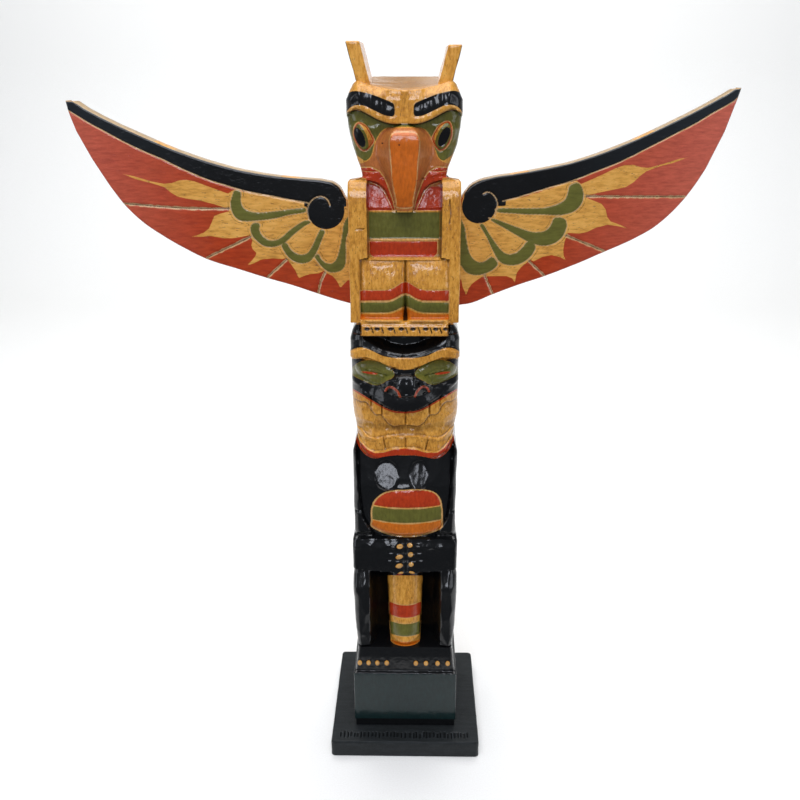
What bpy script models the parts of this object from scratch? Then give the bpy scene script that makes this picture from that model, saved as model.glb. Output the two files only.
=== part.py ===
"""A carved and painted totem pole: a horned thunderbird sits on a bear that holds a banded log.

The post is carved from one square length of wood. Two flat wings are butted to its sides, and it stands on a
square base plate. The origin is under the middle of the plate, the figures face -Y and +Z is up.
"""

import math

import bmesh
import bpy
import numpy as np

# Sizes in metres. Each can be set by itself.
STOCK = 0.0762
BACK_PLANE = 0.0360
POLE_HEIGHT = 0.4852
CARVED_HALF_WIDTH = 0.0350
PLATE_WIDTH = 0.1103
PLATE_DEPTH = 0.1103
PLATE_THICKNESS = 0.0135
PLATE_EDGE_ROUND = 0.0022
WING_SPAN = 0.1770
WING_HEIGHT = 0.1365
WING_THICKNESS = 0.0120
WING_SWEEP_LEFT = 0.0
WING_SWEEP_RIGHT = math.radians(4.8)
HORN_DEPTH = 0.0440
HORN_THICKNESS = 0.0088
GROOVE_WIDTH = 0.0016
GROOVE_DEPTH = 0.0010
EDGE_ROUND = 0.0008
JOINT_GAP = 0.0003

# How fine the carving is cut before it is thinned out to flat facets.
RING_STEP = 1.25
COLUMN_STEP = 1.25
STEP_SLOPE = 0.9
SIDE_CUTS = 9
BACK_CUTS = 10
POLE_TRIANGLES = 8600

# The carving is drawn in millimetres on a sheet of this size, with heights counted from the table.
SHEET_STOCK = 76.2
SHEET_FOOT = 13.8
SHEET_TOP = 499.0
SHEET_HALF_WIDTH = 35.0
SHEET_HEAD_TOP = 474.0
SHEET_WING_LOW = 334.5
SHEET_WING_SPAN = 177.5
SHEET_WING_HEIGHT = 136.5

POLE_FOOT = PLATE_THICKNESS + JOINT_GAP
WIDE = STOCK / SHEET_STOCK
TALL = POLE_HEIGHT / (SHEET_TOP - SHEET_FOOT)
CARVED_WIDE = CARVED_HALF_WIDTH / SHEET_HALF_WIDTH
WING_ALONG = WING_SPAN / SHEET_WING_SPAN
WING_UP = WING_HEIGHT / SHEET_WING_HEIGHT

# Half width of the silhouette, as (height, half width), from the block up to the crown.
SILHOUETTE = (
    (13.8, 37.4), (19.5, 37.4), (20.5, 38.1), (61.5, 38.1), (62.5, 36.8), (66, 36.2), (80, 34.8), (84, 34.6),
    (92, 35.6), (105, 36.6), (128, 37.5), (140, 37.5), (147.5, 36.5), (149.5, 36.9), (172, 36.9), (176, 35.6),
    (194, 35.6), (238, 36.0), (243, 34.6), (248, 33.0), (253, 34.0), (260, 35.6), (268, 36.2), (284, 36.2),
    (300, 36.2), (318, 36.0), (324, 34.4), (329.5, 31.2), (330.5, 35.0), (418.5, 35.0), (420.5, 33.6),
    (421.5, 26.2), (427, 27.2), (432, 29.2), (440, 32.2), (450, 34.2), (460, 35.2), (468, 35.0), (473, 32.8),
    (476, 30.2),
)

# Radius of the rounding from the front face to the sides, as (height, radius).
CORNER = (
    (13.8, 0.8), (61.0, 0.8), (64.0, 1.6), (86.0, 3.0), (95.0, 4.5), (146.0, 4.5), (148.0, 3.0), (172.0, 3.0),
    (178.0, 5.0), (236.0, 6.0), (242.0, 10.0), (284.0, 10.0), (300.0, 8.0), (322.0, 8.0), (330.0, 5.0),
    (331.0, 1.2), (419.0, 1.2), (422.0, 7.0), (440.0, 9.0), (476.0, 9.0),
)

# Front edges that curve across the post, as (distance from the middle line, height).
HANDS_LOW = ((0, 146.5), (20, 148.0), (38, 150.0))
CHIN_LOW = ((0, 237.5), (8, 237.5), (16, 235.6), (23, 236.0), (28, 239.5), (32, 245.0), (38, 256.0))
LIP_LOW = ((0, 243.5), (8, 243.0), (16, 240.4), (21, 239.6), (26, 241.6), (30, 245.6), (34, 251.5), (38, 260.0))
LIP_HIGH = ((0, 271.0), (8, 272.0), (14, 274.3), (18, 276.6), (25, 280.6), (31, 284.0), (38, 288.0))
BAND_LOW = ((0, 300.0), (5, 300.6), (11, 302.0), (18, 305.2), (26, 307.6), (34, 306.4), (38, 305.6))
BAND_HIGH = ((0, 307.4), (5, 307.8), (12, 309.8), (20, 312.6), (27, 314.2), (34, 311.4), (38, 309.0))
HOLLOW_HIGH = ((0, 310.2), (10, 312.0), (20, 316.4), (27, 321.4), (38, 326.0))
BROW_LOW = (
    (0, 452.6), (8, 452.8), (15, 455.0), (20, 457.4), (25, 459.8), (30, 460.6), (34, 457.6), (38, 452.0),
)
BEAK_SIDE = (
    (400.0, 4.8), (404.0, 5.4), (412.0, 7.6), (420.0, 10.6), (427.0, 14.6), (434.0, 18.2), (440.0, 17.6),
    (446.0, 14.6), (450.0, 10.8), (452.0, 4.0),
)
BEAK_FRONT = (
    (400.0, 4.8), (404.0, 5.2), (420.0, 7.4), (430.0, 8.0), (444.0, 8.5), (448.0, 7.8), (450.5, 5.5),
    (452.0, 2.0),
)
BEAK_PROFILE = (
    (400.0, 41.0), (405.0, 43.5), (412.0, 45.8), (425.0, 47.0), (436.0, 47.0), (443.0, 46.2), (448.0, 43.6),
    (452.5, 37.0),
)
JAW_LOW = ((0, 401.0), (5.5, 402.5), (8, 409.0), (12, 416.5), (16, 418.8), (20, 419.8), (28, 420.6))
BILL_SLIT = ((0, 398.0), (7, 408.0), (11, 419.0), (15, 424.0), (20, 425.6), (28, 425.4))
UPPER_TEETH = ((0, 259.6), (12, 261.0), (15.5, 266.0), (22, 268.0), (24, 272.0), (32, 274.0))
LOWER_TEETH = ((0, 251.6), (13, 251.0), (16, 250.0), (26, 250.0), (30, 253.0))
ARM_EDGE = ((173.0, 21.0), (180.0, 24.0), (188.0, 28.6), (200.0, 30.6), (225.0, 32.4), (240.0, 33.4))

# Painted and carved wing board, as (distance from the root, height), for the left and the right one.
WING_OUTLINES = {
    "left": (
        (0.0, 335.2), (0.0, 403.0), (3.5, 405.5), (6.0, 410.5), (10.0, 414.2), (16.0, 416.0), (30.0, 417.5),
        (50.0, 419.4), (70.0, 422.8), (90.0, 428.0), (110.0, 434.8), (130.0, 443.2), (150.0, 452.2),
        (166.0, 460.4), (172.5, 465.0), (177.5, 465.0), (176.3, 458.0), (173.0, 447.0), (165.0, 430.0),
        (155.0, 412.5), (147.5, 401.5), (137.0, 390.5), (124.0, 381.0), (110.0, 372.6), (97.0, 366.0),
        (76.0, 359.0), (57.0, 353.0), (40.0, 348.0), (23.0, 342.2), (10.0, 338.0),
    ),
    "right": (
        (0.0, 334.5), (0.0, 403.0), (2.5, 407.5), (6.0, 412.0), (11.0, 415.2), (20.0, 417.8), (35.0, 420.0),
        (50.0, 422.3), (70.0, 426.2), (90.0, 432.0), (110.0, 439.5), (130.0, 448.3), (150.0, 457.8),
        (168.0, 467.2), (173.5, 470.6), (177.5, 471.0), (175.3, 463.0), (170.0, 445.0), (160.0, 421.5),
        (150.0, 405.5), (140.0, 393.8), (130.0, 385.0), (118.0, 378.0), (97.5, 369.0), (80.0, 361.5),
        (58.0, 353.3), (40.0, 347.5), (23.5, 341.5), (8.0, 335.6),
    ),
}

# Grooves between the feathers and the curl at the shoulder, as points that a knife follows.
WING_GROOVES = {
    "left": (
        ((79.0, 398.6), (110.0, 399.0), (147.0, 401.9)), ((66.0, 380.4), (96.0, 366.6)),
        ((43.0, 365.4), (56.4, 353.6)), ((18.0, 356.6), (21.0, 350.0), (23.0, 343.0)),
        (
            (13.2, 400.8), (15.0, 404.6), (18.6, 406.4), (23.0, 405.4), (26.6, 402.0), (28.2, 397.5),
            (27.4, 392.0),
        ),
    ),
    "right": (
        ((83.0, 405.4), (110.0, 404.8), (148.0, 404.4)), ((71.0, 380.2), (97.0, 369.4)),
        ((47.0, 363.6), (57.6, 353.8)), ((17.5, 354.6), (20.0, 349.0), (23.3, 342.2)),
        ((15.0, 407.8), (18.0, 409.0), (21.4, 407.4), (24.0, 403.6), (24.6, 399.4), (23.0, 394.0)),
    ),
}

# Heights at which one carved form gives way to the next.
BLOCK_INSET_TOP = 20.0
FEET_LOW = 62.0
LEGS_LOW = 84.0
BODY_LOW = 174.0
TOES_LOW = 322.0
SLATS_LOW = 330.5
THIGHS_LOW = 332.0
CHEST_LOW = 371.0
NECK_LOW = 422.0
CROWN_LOW = 452.0

# The shoulders fall away behind the upright boards: where that starts, and how far they fall at the back.
SHOULDER_LOW = 404.0
SHOULDER_FRONT = -30.0
SHOULDER_INNER = 24.8
SHOULDER_FALL = 9.5

# The top of the head: its height at the front and how far it rises to the back, towards the horns and out to
# the corners.
CROWN_FRONT = 470.8
CROWN_RISE = 7.2
CROWN_DISH = 5.4
CROWN_CORNER_FALL = 7.0

# Inner edge of a horn, as (height, distance from the middle line), and how far its front stands forward.
HORN_LINE = ((467.0, 17.0), (476.0, 20.0), (484.0, 22.2), (499.0, 26.1))
HORN_FRONT = 30.5


def clear_scene():
    """Remove whatever the start-up scene holds."""
    for old in list(bpy.data.objects):
        bpy.data.objects.remove(old, do_unlink=True)


def material(name, colour, roughness):
    """A painted or stained wood finish."""
    made = bpy.data.materials.new(name)
    made.use_nodes = True
    shader = made.node_tree.nodes["Principled BSDF"]
    shader.inputs["Base Color"].default_value = (*colour, 1.0)
    shader.inputs["Roughness"].default_value = roughness
    shader.inputs["Metallic"].default_value = 0.0
    made.diffuse_color = (*colour, 1.0)
    return made


def add_object(name, mesh, finish=None):
    """Link a mesh into the scene under its own name."""
    obj = bpy.data.objects.new(name, mesh)
    bpy.context.collection.objects.link(obj)
    if finish:
        mesh.materials.append(finish)
    return obj


def make_cutter(obj):
    """Keep a helper out of the finished part."""
    obj.hide_render = True
    obj.display_type = "WIRE"


def boolean(target, tool, operation):
    """Join a tool to the target, or cut it away."""
    make_cutter(tool)
    change = target.modifiers.new(tool.name, "BOOLEAN")
    change.operation = operation
    change.solver = "EXACT"
    change.object = tool


def ramp(value, start, end):
    """0 before start, 1 after end, and an even S curve between them."""
    share = np.clip((value - start) / (end - start), 0.0, 1.0)
    return share * share * (3.0 - 2.0 * share)


def step(value, edge):
    """The wall of a carved step, as steep as the knife leaves it."""
    return ramp(value, edge - STEP_SLOPE, edge + STEP_SLOPE)


def smooth_line(at, points):
    """Height of the smooth line through the points, read at each place."""
    places, heights = np.array(points, float).T
    slopes = np.gradient(heights, places)
    i = np.clip(np.searchsorted(places, at) - 1, 0, len(places) - 2)
    span = places[i + 1] - places[i]
    share = np.clip((at - places[i]) / span, 0.0, 1.0)
    past = 1.0 - share
    ends = heights[i] * (1.0 + 2.0 * share) * past**2 + heights[i + 1] * (3.0 - 2.0 * share) * share**2
    bends = slopes[i] * share * past**2 - slopes[i + 1] * share**2 * past
    return ends + bends * span


def straight_line(at, points):
    """Height of the straight-sided line through the points, read at each place."""
    places, heights = np.array(points, float).T
    return np.interp(at, places, heights)


def oval(x, z, centre, half, turn=0.0):
    """1 in the middle of an oval, 0 on its rim and below 0 outside it."""
    c, s = math.cos(turn), math.sin(turn)
    across = ((x - centre[0]) * c + (z - centre[1]) * s) / half[0]
    along = ((z - centre[1]) * c - (x - centre[0]) * s) / half[1]
    return 1.0 - across**2 - along**2


def dome(x, z, centre, half, height, turn=0.0):
    """A smooth swelling of the surface over an oval."""
    return height * np.sqrt(np.clip(oval(x, z, centre, half, turn), 0.0, 1.0))


def groove(distance, width, depth):
    """A V cut along the line where distance is nought."""
    return -depth * np.clip(1.0 - np.abs(distance) / (width / 2), 0.0, 1.0)


def feet(x, z):
    """The bear's feet: a plain front with the toes marked, and insteps that run back to the legs."""
    front = 36.8 - 1.3 * (z - 62.0) / 17.0
    instep = 35.5 - 9.0 * ramp(z, 81.5, 84.5)
    return np.minimum(front, instep)


def legs(x, z):
    """Two legs with knees, and the banded log that stands between them in a deep recess."""
    side = np.abs(x)
    leg = 23.0 + 12.5 * ramp(side, 20.5, 26.0) - 1.2 * ((side - 31.0) / 6.0) ** 2
    leg -= 7.0 * ramp(z, 131.0, 147.0)
    log = 33.8 - (14.0 - np.sqrt(np.clip(196.0 - x**2, 0.0, None)))
    log -= 5.0 * ramp(-z, -86.5, -83.5)
    return np.where(side < 12.4, log, np.where(side < 13.2, 23.0, leg))


def hands(x, z):
    """Both forearms in one band across the log, with the fingers meeting in the middle."""
    side = np.abs(x - 0.4)
    band = 38.0 - 1.6 * ramp(z, 167.0, 173.5)
    band -= 1.6 * np.exp(-((side / 2.0) ** 2))
    for finger in range(1, 4):
        level = 150.0 + 6.0 * finger
        band += groove(z - level - 0.12 * side, 1.4, 0.8) * (side < 14.0)
    return band


def bear_body(x, z):
    """Chest, round belly and the upper arms down both sides."""
    side = np.abs(x)
    chest = 34.0 - 0.23 * np.clip(z - 213.0, 0.0, 23.0) - 2.0 * (side / 30.0) ** 2
    chest += 3.0 * ramp(oval(x, z, (1.0, 192.0), (31.0, 25.0)), 0.0, 0.85)
    arm = 34.0 - 1.0 * ramp(z, 200.0, 240.0)
    edge = smooth_line(z, ARM_EDGE)
    body = chest + (arm - chest) * step(side, edge)
    body += groove(side - edge, 2.0, 1.4)
    notch = groove(z - 194.0, 2.4, 1.4) * (side > 31.0)
    return body + notch - 2.5 * ramp(-z, -179.0, -174.0)


def muzzle_round(x):
    """How far the bear's face falls back from its middle line."""
    return 9.0 * (np.abs(x) / 34.0) ** 2.2


def bear_mouth(x, z):
    """The open mouth with two rows of teeth, from the lower lip to the upper one."""
    side = np.abs(x - 0.6)
    gum = 34.0 - muzzle_round(x) - 1.2 * np.exp(-(((z - 257.0) / 4.0) ** 2))
    upper = smooth_line(side, UPPER_TEETH)
    lower = smooth_line(side, LOWER_TEETH)
    gum += 2.2 * step(z, upper)
    gum += 1.5 * step(-z, -lower)
    for tooth in (0.0, 15.8, 23.0):
        gum += groove(side - tooth, 2.4, 1.8) * (z > upper)
    for tooth, lean in ((0.0, 0.0), (14.6, 0.4)):
        gum += groove(side - tooth - lean * (z - 247.0) / 2.0, 2.4, 1.4) * (z < lower)
    return gum


def lower_lip(x, z):
    """A rounded rim under the lower teeth."""
    return 37.2 - muzzle_round(x)


def brow_band(x, z):
    """The smooth band over the bear's eyes, left at the face of the stock."""
    return np.full(np.shape(x), SHEET_STOCK / 2)


def bear_face(x, z):
    """Muzzle, nose with its nostrils, cheeks and the two round eyes."""
    side = np.abs(x - 0.8)
    face = 37.0 - 5.0 * ramp(side, 4.0, 26.0) - 4.0 * (side / 34.0) ** 3
    face += 3.0 * ramp(-z, -290.0, -276.0) * (1.0 - ramp(side, 12.0, 34.0))
    face -= 3.2 * ramp(z, 286.0, 292.0) * ramp(side, 5.0, 9.0)
    nose = dome(x, z, (1.0, 289.0), (17.5, 8.0), 7.4)
    nose -= 1.4 * np.exp(-((x - 1.0) / 3.0) ** 2) * (z > 284.0)
    face += nose
    for centre in (-8.4, 11.2):
        face -= dome(x, z, (centre, 285.6), (3.6, 3.2), 3.2)
    face += 2.6 * np.exp(-((x - 0.6) / 5.0) ** 2) * ramp(z, 292.0, 298.0)
    for way, centre in ((-1.0, -19.0), (1.0, 21.0)):
        face += dome(x, z, (centre, 296.6), (14.5, 8.4), 5.2, way * math.radians(6.0))
        slit = (z - 296.0) - way * 0.14 * (x - centre)
        face += groove(slit, 2.2, 1.5) * (np.abs(x - centre) < 7.5)
    return face


def forehead(x, z):
    """The hollow above the brow band, under the bird's toes."""
    side = np.abs(x)
    lip = smooth_line(side, HOLLOW_HIGH)
    slope = 37.0 - 8.5 * ramp(z, lip - 4.0, lip + 4.0)
    ears = 33.5 - 2.0 * ramp(z, 318.0, 330.0)
    return slope + (ears - slope) * ramp(side, 27.0, 30.0)


def toes(x, z):
    """Eight bird toes on one ledge."""
    ledge = 39.4 - 0.8 * ramp(z, 328.5, 331.0)
    for cut in (-20.5, -14.0, -6.5, 1.5, 9.5, 17.0, 23.2):
        ledge += groove(x - cut, 1.6, 1.5) * (z < 328.0)
    for claw in (-24.0, -17.5, -9.0, -2.0, 5.5, 13.5, 20.0, 26.4):
        ledge -= dome(x, z, (claw, 327.0), (1.9, 1.2), 1.2)
    return ledge


def thighs(x, z):
    """Two full thighs with a cleft between them, set over a narrow foot."""
    left = dome(x, z, (-14.0, 350.0), (17.5, 24.0), 5.6)
    right = dome(x, z, (14.8, 350.0), (17.5, 24.0), 5.6)
    flesh = 32.0 + np.maximum(left, right) + 1.2 * ramp(z, 345.0, 362.0)
    flesh -= 1.4 * ramp(-z, -345.0, -333.0)
    flesh -= 3.0 * np.exp(-((x - 0.6) / (0.9 + 0.12 * np.clip(345.0 - z, 0.0, 8.0))) ** 2)
    flesh += 3.5 * ramp(-z, -334.4, -332.6)
    return flesh


def chest(x, z):
    """The bird's flat chest in three steps, with a ledge over the thighs."""
    front = 31.2 + 0.9 * ramp(-z, -384.6, -383.6) - 1.0 * (np.abs(x) / 22.0) ** 4
    front += 0.8 * ramp(z, 402.0, 418.0)
    front += groove(z - 401.8, 1.2, 0.7) + groove(z - 384.2, 1.2, 0.7)
    return front + 4.0 * ramp(-z, -373.4, -371.0)


def slats(x, z):
    """The plain upright boards of the folded arms, with round tops."""
    return 37.0 - 8.0 * (1.0 - np.sqrt(np.clip(1.0 - np.clip((z - 412.5) / 8.2, 0.0, 1.0) ** 2, 0.0, 1.0)))


def beak(x, z):
    """The hooked beak: a narrow front facet between two cheeks that run back to the face."""
    side = np.abs(x - 0.2)
    ridge = smooth_line(z, BEAK_PROFILE)
    facet = straight_line(z, BEAK_FRONT)
    outer = straight_line(z, BEAK_SIDE)
    fall = np.clip((side - facet) / np.maximum(outer - facet, 0.5), 0.0, 1.0)
    return ridge - (ridge - 31.5) * (1.0 - (1.0 - fall) ** 1.5)


def bird_head(x, z):
    """Brow, eyes, beak and the jaw of the thunderbird."""
    side = np.abs(x)
    brow = smooth_line(side, BROW_LOW)
    skull = 32.0 + 5.0 * step(z, brow) - 2.4 * ramp(z, 462.0, 474.0)
    skull -= 2.0 * ramp(-z, -452.0, -440.0)
    eyebrow = z - 464.0 - 0.28 * (side - 18.0)
    skull += 1.2 * np.exp(-((eyebrow / 4.5) ** 2)) * ramp(side, 4.0, 8.0)
    for way, centre in ((-1.0, -26.4), (1.0, 24.2)):
        skull += dome(x, z, (centre, 445.2), (7.0, 9.4), 3.4, way * math.radians(-22.0))
    lips = smooth_line(side, BILL_SLIT)
    skull += 1.4 * np.exp(-((z - lips - 2.0) / 1.8) ** 2) + 1.4 * np.exp(-((z - lips + 2.4) / 2.0) ** 2)
    jaw = smooth_line(side, JAW_LOW)
    face = np.maximum(skull, beak(x, z))
    return face, jaw


def front_depth(x, z):
    """How far the carved front stands before the post's middle plane, at each place on the sheet."""
    side = np.abs(x)
    depth = np.where(z < BLOCK_INSET_TOP, 36.8, SHEET_STOCK / 2)
    for carve, edge in (
        (feet, FEET_LOW), (legs, LEGS_LOW), (hands, smooth_line(side, HANDS_LOW)), (bear_body, BODY_LOW),
        (lower_lip, smooth_line(side, CHIN_LOW)), (bear_mouth, smooth_line(side, LIP_LOW)),
        (bear_face, smooth_line(side, LIP_HIGH)), (brow_band, smooth_line(side, BAND_LOW)),
        (forehead, smooth_line(side, BAND_HIGH)), (toes, TOES_LOW), (thighs, THIGHS_LOW), (chest, CHEST_LOW),
    ):
        depth = depth + (carve(x, z) - depth) * step(z, edge)
    beside_toes = step(side, 28.0) * step(z, TOES_LOW) * (1.0 - step(z, SLATS_LOW))
    depth = depth + (forehead(x, z) - depth) * beside_toes
    slat_edge = 22.6 + 5.4 * step(-z, -372.0)
    slat = step(side, slat_edge) * step(z, SLATS_LOW)
    depth = depth + (slats(x, z) - depth) * slat
    face, jaw = bird_head(x, z)
    return depth + (face - depth) * step(z, jaw)


def crown_height(x, y):
    """Height of the top of the head: low in the middle of the front, higher at the back."""
    side = np.abs(x)
    back = (y + SHEET_STOCK / 2) / SHEET_STOCK
    top = CROWN_FRONT + CROWN_RISE * back + CROWN_DISH * (side / 28.0) ** 2 * (1.0 - back)
    return top - CROWN_CORNER_FALL * ramp(side, 27.0, 35.0)


def shoulder_fall(x, y, height):
    """How far the flat shoulder beside the neck lies below its front edge."""
    back = np.clip((y - SHOULDER_FRONT) / (SHEET_STOCK / 2 - SHOULDER_FRONT), 0.0, 1.0)
    outside = ramp(np.abs(x), SHOULDER_INNER, SHOULDER_INNER + 1.6)
    upper = float(ramp(height, SHOULDER_LOW, NECK_LOW - 1.5)) * (height < NECK_LOW)
    return SHOULDER_FALL * back * outside * upper


def ring_points(height, columns, side_cuts, back_cuts):
    """One closed ring round the post, on the sheet: the front from -X to +X, a side, the back and a side."""
    half = float(straight_line(height, SILHOUETTE))
    radius = float(straight_line(height, CORNER))
    x = columns * half
    over = np.clip((np.abs(x) - (half - radius)) / radius, 0.0, 1.0)
    corner = radius * (1.0 - np.sqrt(1.0 - over**2))
    depth = front_depth(x, np.full(x.shape, height)) - corner
    back_plane = SHEET_STOCK / 2 if height < FEET_LOW else BACK_PLANE / WIDE
    back_round = min(radius, 2.5)
    right_y = np.linspace(-depth[-1], back_plane - back_round, side_cuts + 2)[1:]
    left_y = np.linspace(-depth[0], back_plane - back_round, side_cuts + 2)[1:]
    back_x = np.linspace(half - back_round, -half + back_round, back_cuts)
    ring_x = np.concatenate([x, np.full(right_y.shape, half), back_x, np.full(left_y.shape, -half)])
    ring_y = np.concatenate([-depth, right_y, np.full(back_cuts, back_plane), left_y[::-1]])
    return ring_x, ring_y


def pole_mesh():
    """The carved post as rings from the foot to the crown."""
    count = int(round(SHEET_STOCK / COLUMN_STEP))
    inner = np.linspace(-1.0, 1.0, count)
    columns = np.sort(np.concatenate([inner, [-0.996, -0.985, 0.985, 0.996]]))
    heights = [SHEET_FOOT, 19.6, 20.4, 61.4, 62.2]
    heights += list(np.arange(63.2, SHEET_HEAD_TOP + 1.0, RING_STEP))
    bm = bmesh.new()
    rings = []
    for height in heights:
        x, y = ring_points(height, columns, SIDE_CUTS, BACK_CUTS)
        share = float(ramp(height, CROWN_LOW, SHEET_HEAD_TOP))
        lifted = height + share * (crown_height(x, y) - SHEET_HEAD_TOP) - shoulder_fall(x, y, height)
        rings.append([bm.verts.new(spot) for spot in on_pole(x, y, lifted)])
    top_x, top_y = ring_points(heights[-1], columns, SIDE_CUTS, BACK_CUTS)
    for share in (0.97, 0.6, 0.25):
        x, y = top_x * share, top_y * share
        rings.append([bm.verts.new(spot) for spot in on_pole(x, y, crown_height(x, y) + 0.8)])
    for low, high in zip(rings, rings[1:]):
        for i in range(len(low)):
            j = (i + 1) % len(low)
            bm.faces.new((low[i], low[j], high[j], high[i]))
    bm.faces.new(rings[-1])
    bm.faces.new(rings[0][::-1])
    bmesh.ops.triangulate(bm, faces=[face for face in bm.faces if len(face.verts) > 4])
    bmesh.ops.recalc_face_normals(bm, faces=bm.faces)
    mesh = bpy.data.meshes.new("pole")
    bm.to_mesh(mesh)
    bm.free()
    return mesh


def on_pole(x, y, z):
    """Places on the sheet, in millimetres, turned into places on the real post, in metres."""
    height = np.broadcast_to(z, np.shape(x))
    sheet_wide = np.where(height > FEET_LOW, CARVED_WIDE, WIDE)
    return list(zip(x * sheet_wide, y * WIDE, POLE_FOOT + (height - SHEET_FOOT) * TALL))


def horn(name, way, finish):
    """One upright ear horn, leaning out, as deep as the crown."""
    bm = bmesh.new()
    rings = []
    front = -HORN_FRONT
    back = front + HORN_DEPTH / WIDE
    for height, inner in HORN_LINE:
        outer = inner + HORN_THICKNESS / CARVED_WIDE
        corners = ((inner, front), (outer, front), (outer, back), (inner, back))
        x = np.array([way * spot[0] for spot in corners])
        y = np.array([spot[1] for spot in corners])
        rings.append([bm.verts.new(spot) for spot in on_pole(x, y, height)])
    for low, high in zip(rings, rings[1:]):
        for i in range(4):
            j = (i + 1) % 4
            bm.faces.new((low[i], low[j], high[j], high[i]))
    bm.faces.new(rings[-1])
    bm.faces.new(rings[0][::-1])
    bmesh.ops.recalc_face_normals(bm, faces=bm.faces)
    mesh = bpy.data.meshes.new(name)
    bm.to_mesh(mesh)
    bm.free()
    obj = add_object(name, mesh, finish)
    bevel = obj.modifiers.new("worn edges", "BEVEL")
    bevel.width = EDGE_ROUND
    bevel.segments = 1
    return obj


def make_pole(finish):
    """The one carved post, with both horns."""
    pole = add_object("pole", pole_mesh(), finish)
    thin = pole.modifiers.new("knife facets", "DECIMATE")
    thin.ratio = POLE_TRIANGLES / (2 * len(pole.data.polygons))
    for side, way in (("left", -1.0), ("right", 1.0)):
        boolean(pole, horn("horn_" + side, way, finish), "UNION")
    pole.data.shade_smooth()
    pole.data.set_sharp_from_angle(angle=math.radians(30))
    return pole


def wing_point(side, s, z, y):
    """A place on a wing's sheet turned into a place on the real wing, in metres."""
    way, sweep = (-1.0, WING_SWEEP_LEFT) if side == "left" else (1.0, WING_SWEEP_RIGHT)
    along = s * WING_ALONG
    root = CARVED_HALF_WIDTH + JOINT_GAP
    level = POLE_FOOT + (SHEET_WING_LOW - SHEET_FOOT) * TALL
    x = root + along * math.cos(sweep)
    return way * x, y + along * math.sin(sweep), level + (z - SHEET_WING_LOW) * WING_UP


def wing_mesh(side):
    """A flat board cut to the wing's outline."""
    bm = bmesh.new()
    front = [bm.verts.new(wing_point(side, s, z, -WING_THICKNESS / 2)) for s, z in WING_OUTLINES[side]]
    face = bm.faces.new(front)
    grown = bmesh.ops.extrude_face_region(bm, geom=[face])
    moved = [item for item in grown["geom"] if isinstance(item, bmesh.types.BMVert)]
    bmesh.ops.translate(bm, verts=moved, vec=(0.0, WING_THICKNESS, 0.0))
    bmesh.ops.recalc_face_normals(bm, faces=bm.faces)
    mesh = bpy.data.meshes.new("wing_" + side)
    bm.to_mesh(mesh)
    bm.free()
    return mesh


def knife_cut(name, side, route):
    """A V bar that lies along a groove in the wing's face."""
    bm = bmesh.new()
    rings = []
    points = np.array(route, float)
    for i, (s, z) in enumerate(points):
        ahead = points[min(i + 1, len(points) - 1)] - points[max(i - 1, 0)]
        across = np.array([-ahead[1], ahead[0]]) / np.hypot(*ahead) * GROOVE_WIDTH / WING_ALONG
        face_y = -WING_THICKNESS / 2
        ring = (
            wing_point(side, s + across[0], z + across[1], face_y - GROOVE_DEPTH),
            wing_point(side, s - across[0], z - across[1], face_y - GROOVE_DEPTH),
            wing_point(side, s, z, face_y + GROOVE_DEPTH),
        )
        rings.append([bm.verts.new(spot) for spot in ring])
    for low, high in zip(rings, rings[1:]):
        for i in range(3):
            j = (i + 1) % 3
            bm.faces.new((low[i], low[j], high[j], high[i]))
    bm.faces.new(rings[-1])
    bm.faces.new(rings[0][::-1])
    bmesh.ops.recalc_face_normals(bm, faces=bm.faces)
    mesh = bpy.data.meshes.new(name)
    bm.to_mesh(mesh)
    bm.free()
    return add_object(name, mesh)


def make_wing(side, finish):
    """One wing board with its feather grooves and the curl at the shoulder."""
    wing = add_object("wing_" + side, wing_mesh(side), finish)
    for number, route in enumerate(WING_GROOVES[side]):
        boolean(wing, knife_cut(f"cut_{side}_{number}", side, route), "DIFFERENCE")
    return wing


def make_plate(finish):
    """The square base plate with softened edges."""
    bm = bmesh.new()
    bmesh.ops.create_cube(bm, size=1.0)
    bmesh.ops.scale(bm, vec=(PLATE_WIDTH, PLATE_DEPTH, PLATE_THICKNESS), verts=bm.verts)
    bmesh.ops.translate(bm, vec=(0.0, 0.0, PLATE_THICKNESS / 2), verts=bm.verts)
    softened = [edge for edge in bm.edges if max(vert.co.z for vert in edge.verts) > PLATE_THICKNESS / 2]
    bmesh.ops.bevel(bm, geom=softened, offset=PLATE_EDGE_ROUND, segments=2, profile=0.6, affect="EDGES")
    mesh = bpy.data.meshes.new("base_plate")
    bm.to_mesh(mesh)
    bm.free()
    return add_object("base_plate", mesh, finish)


def main():
    """Build the four pieces."""
    clear_scene()
    make_plate(material("charcoal painted wood", (0.024, 0.026, 0.029), 0.5))
    make_pole(material("stained and painted wood", (0.42, 0.22, 0.06), 0.35))
    for side in ("left", "right"):
        make_wing(side, material(f"painted wing wood {side}", (0.40, 0.06, 0.03), 0.4))


main()
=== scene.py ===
import logging
import math
from dataclasses import dataclass, field
from enum import Enum
from typing import Any, Sequence

import bmesh
import bpy
import numpy as np
from mathutils import Matrix, Vector


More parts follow.
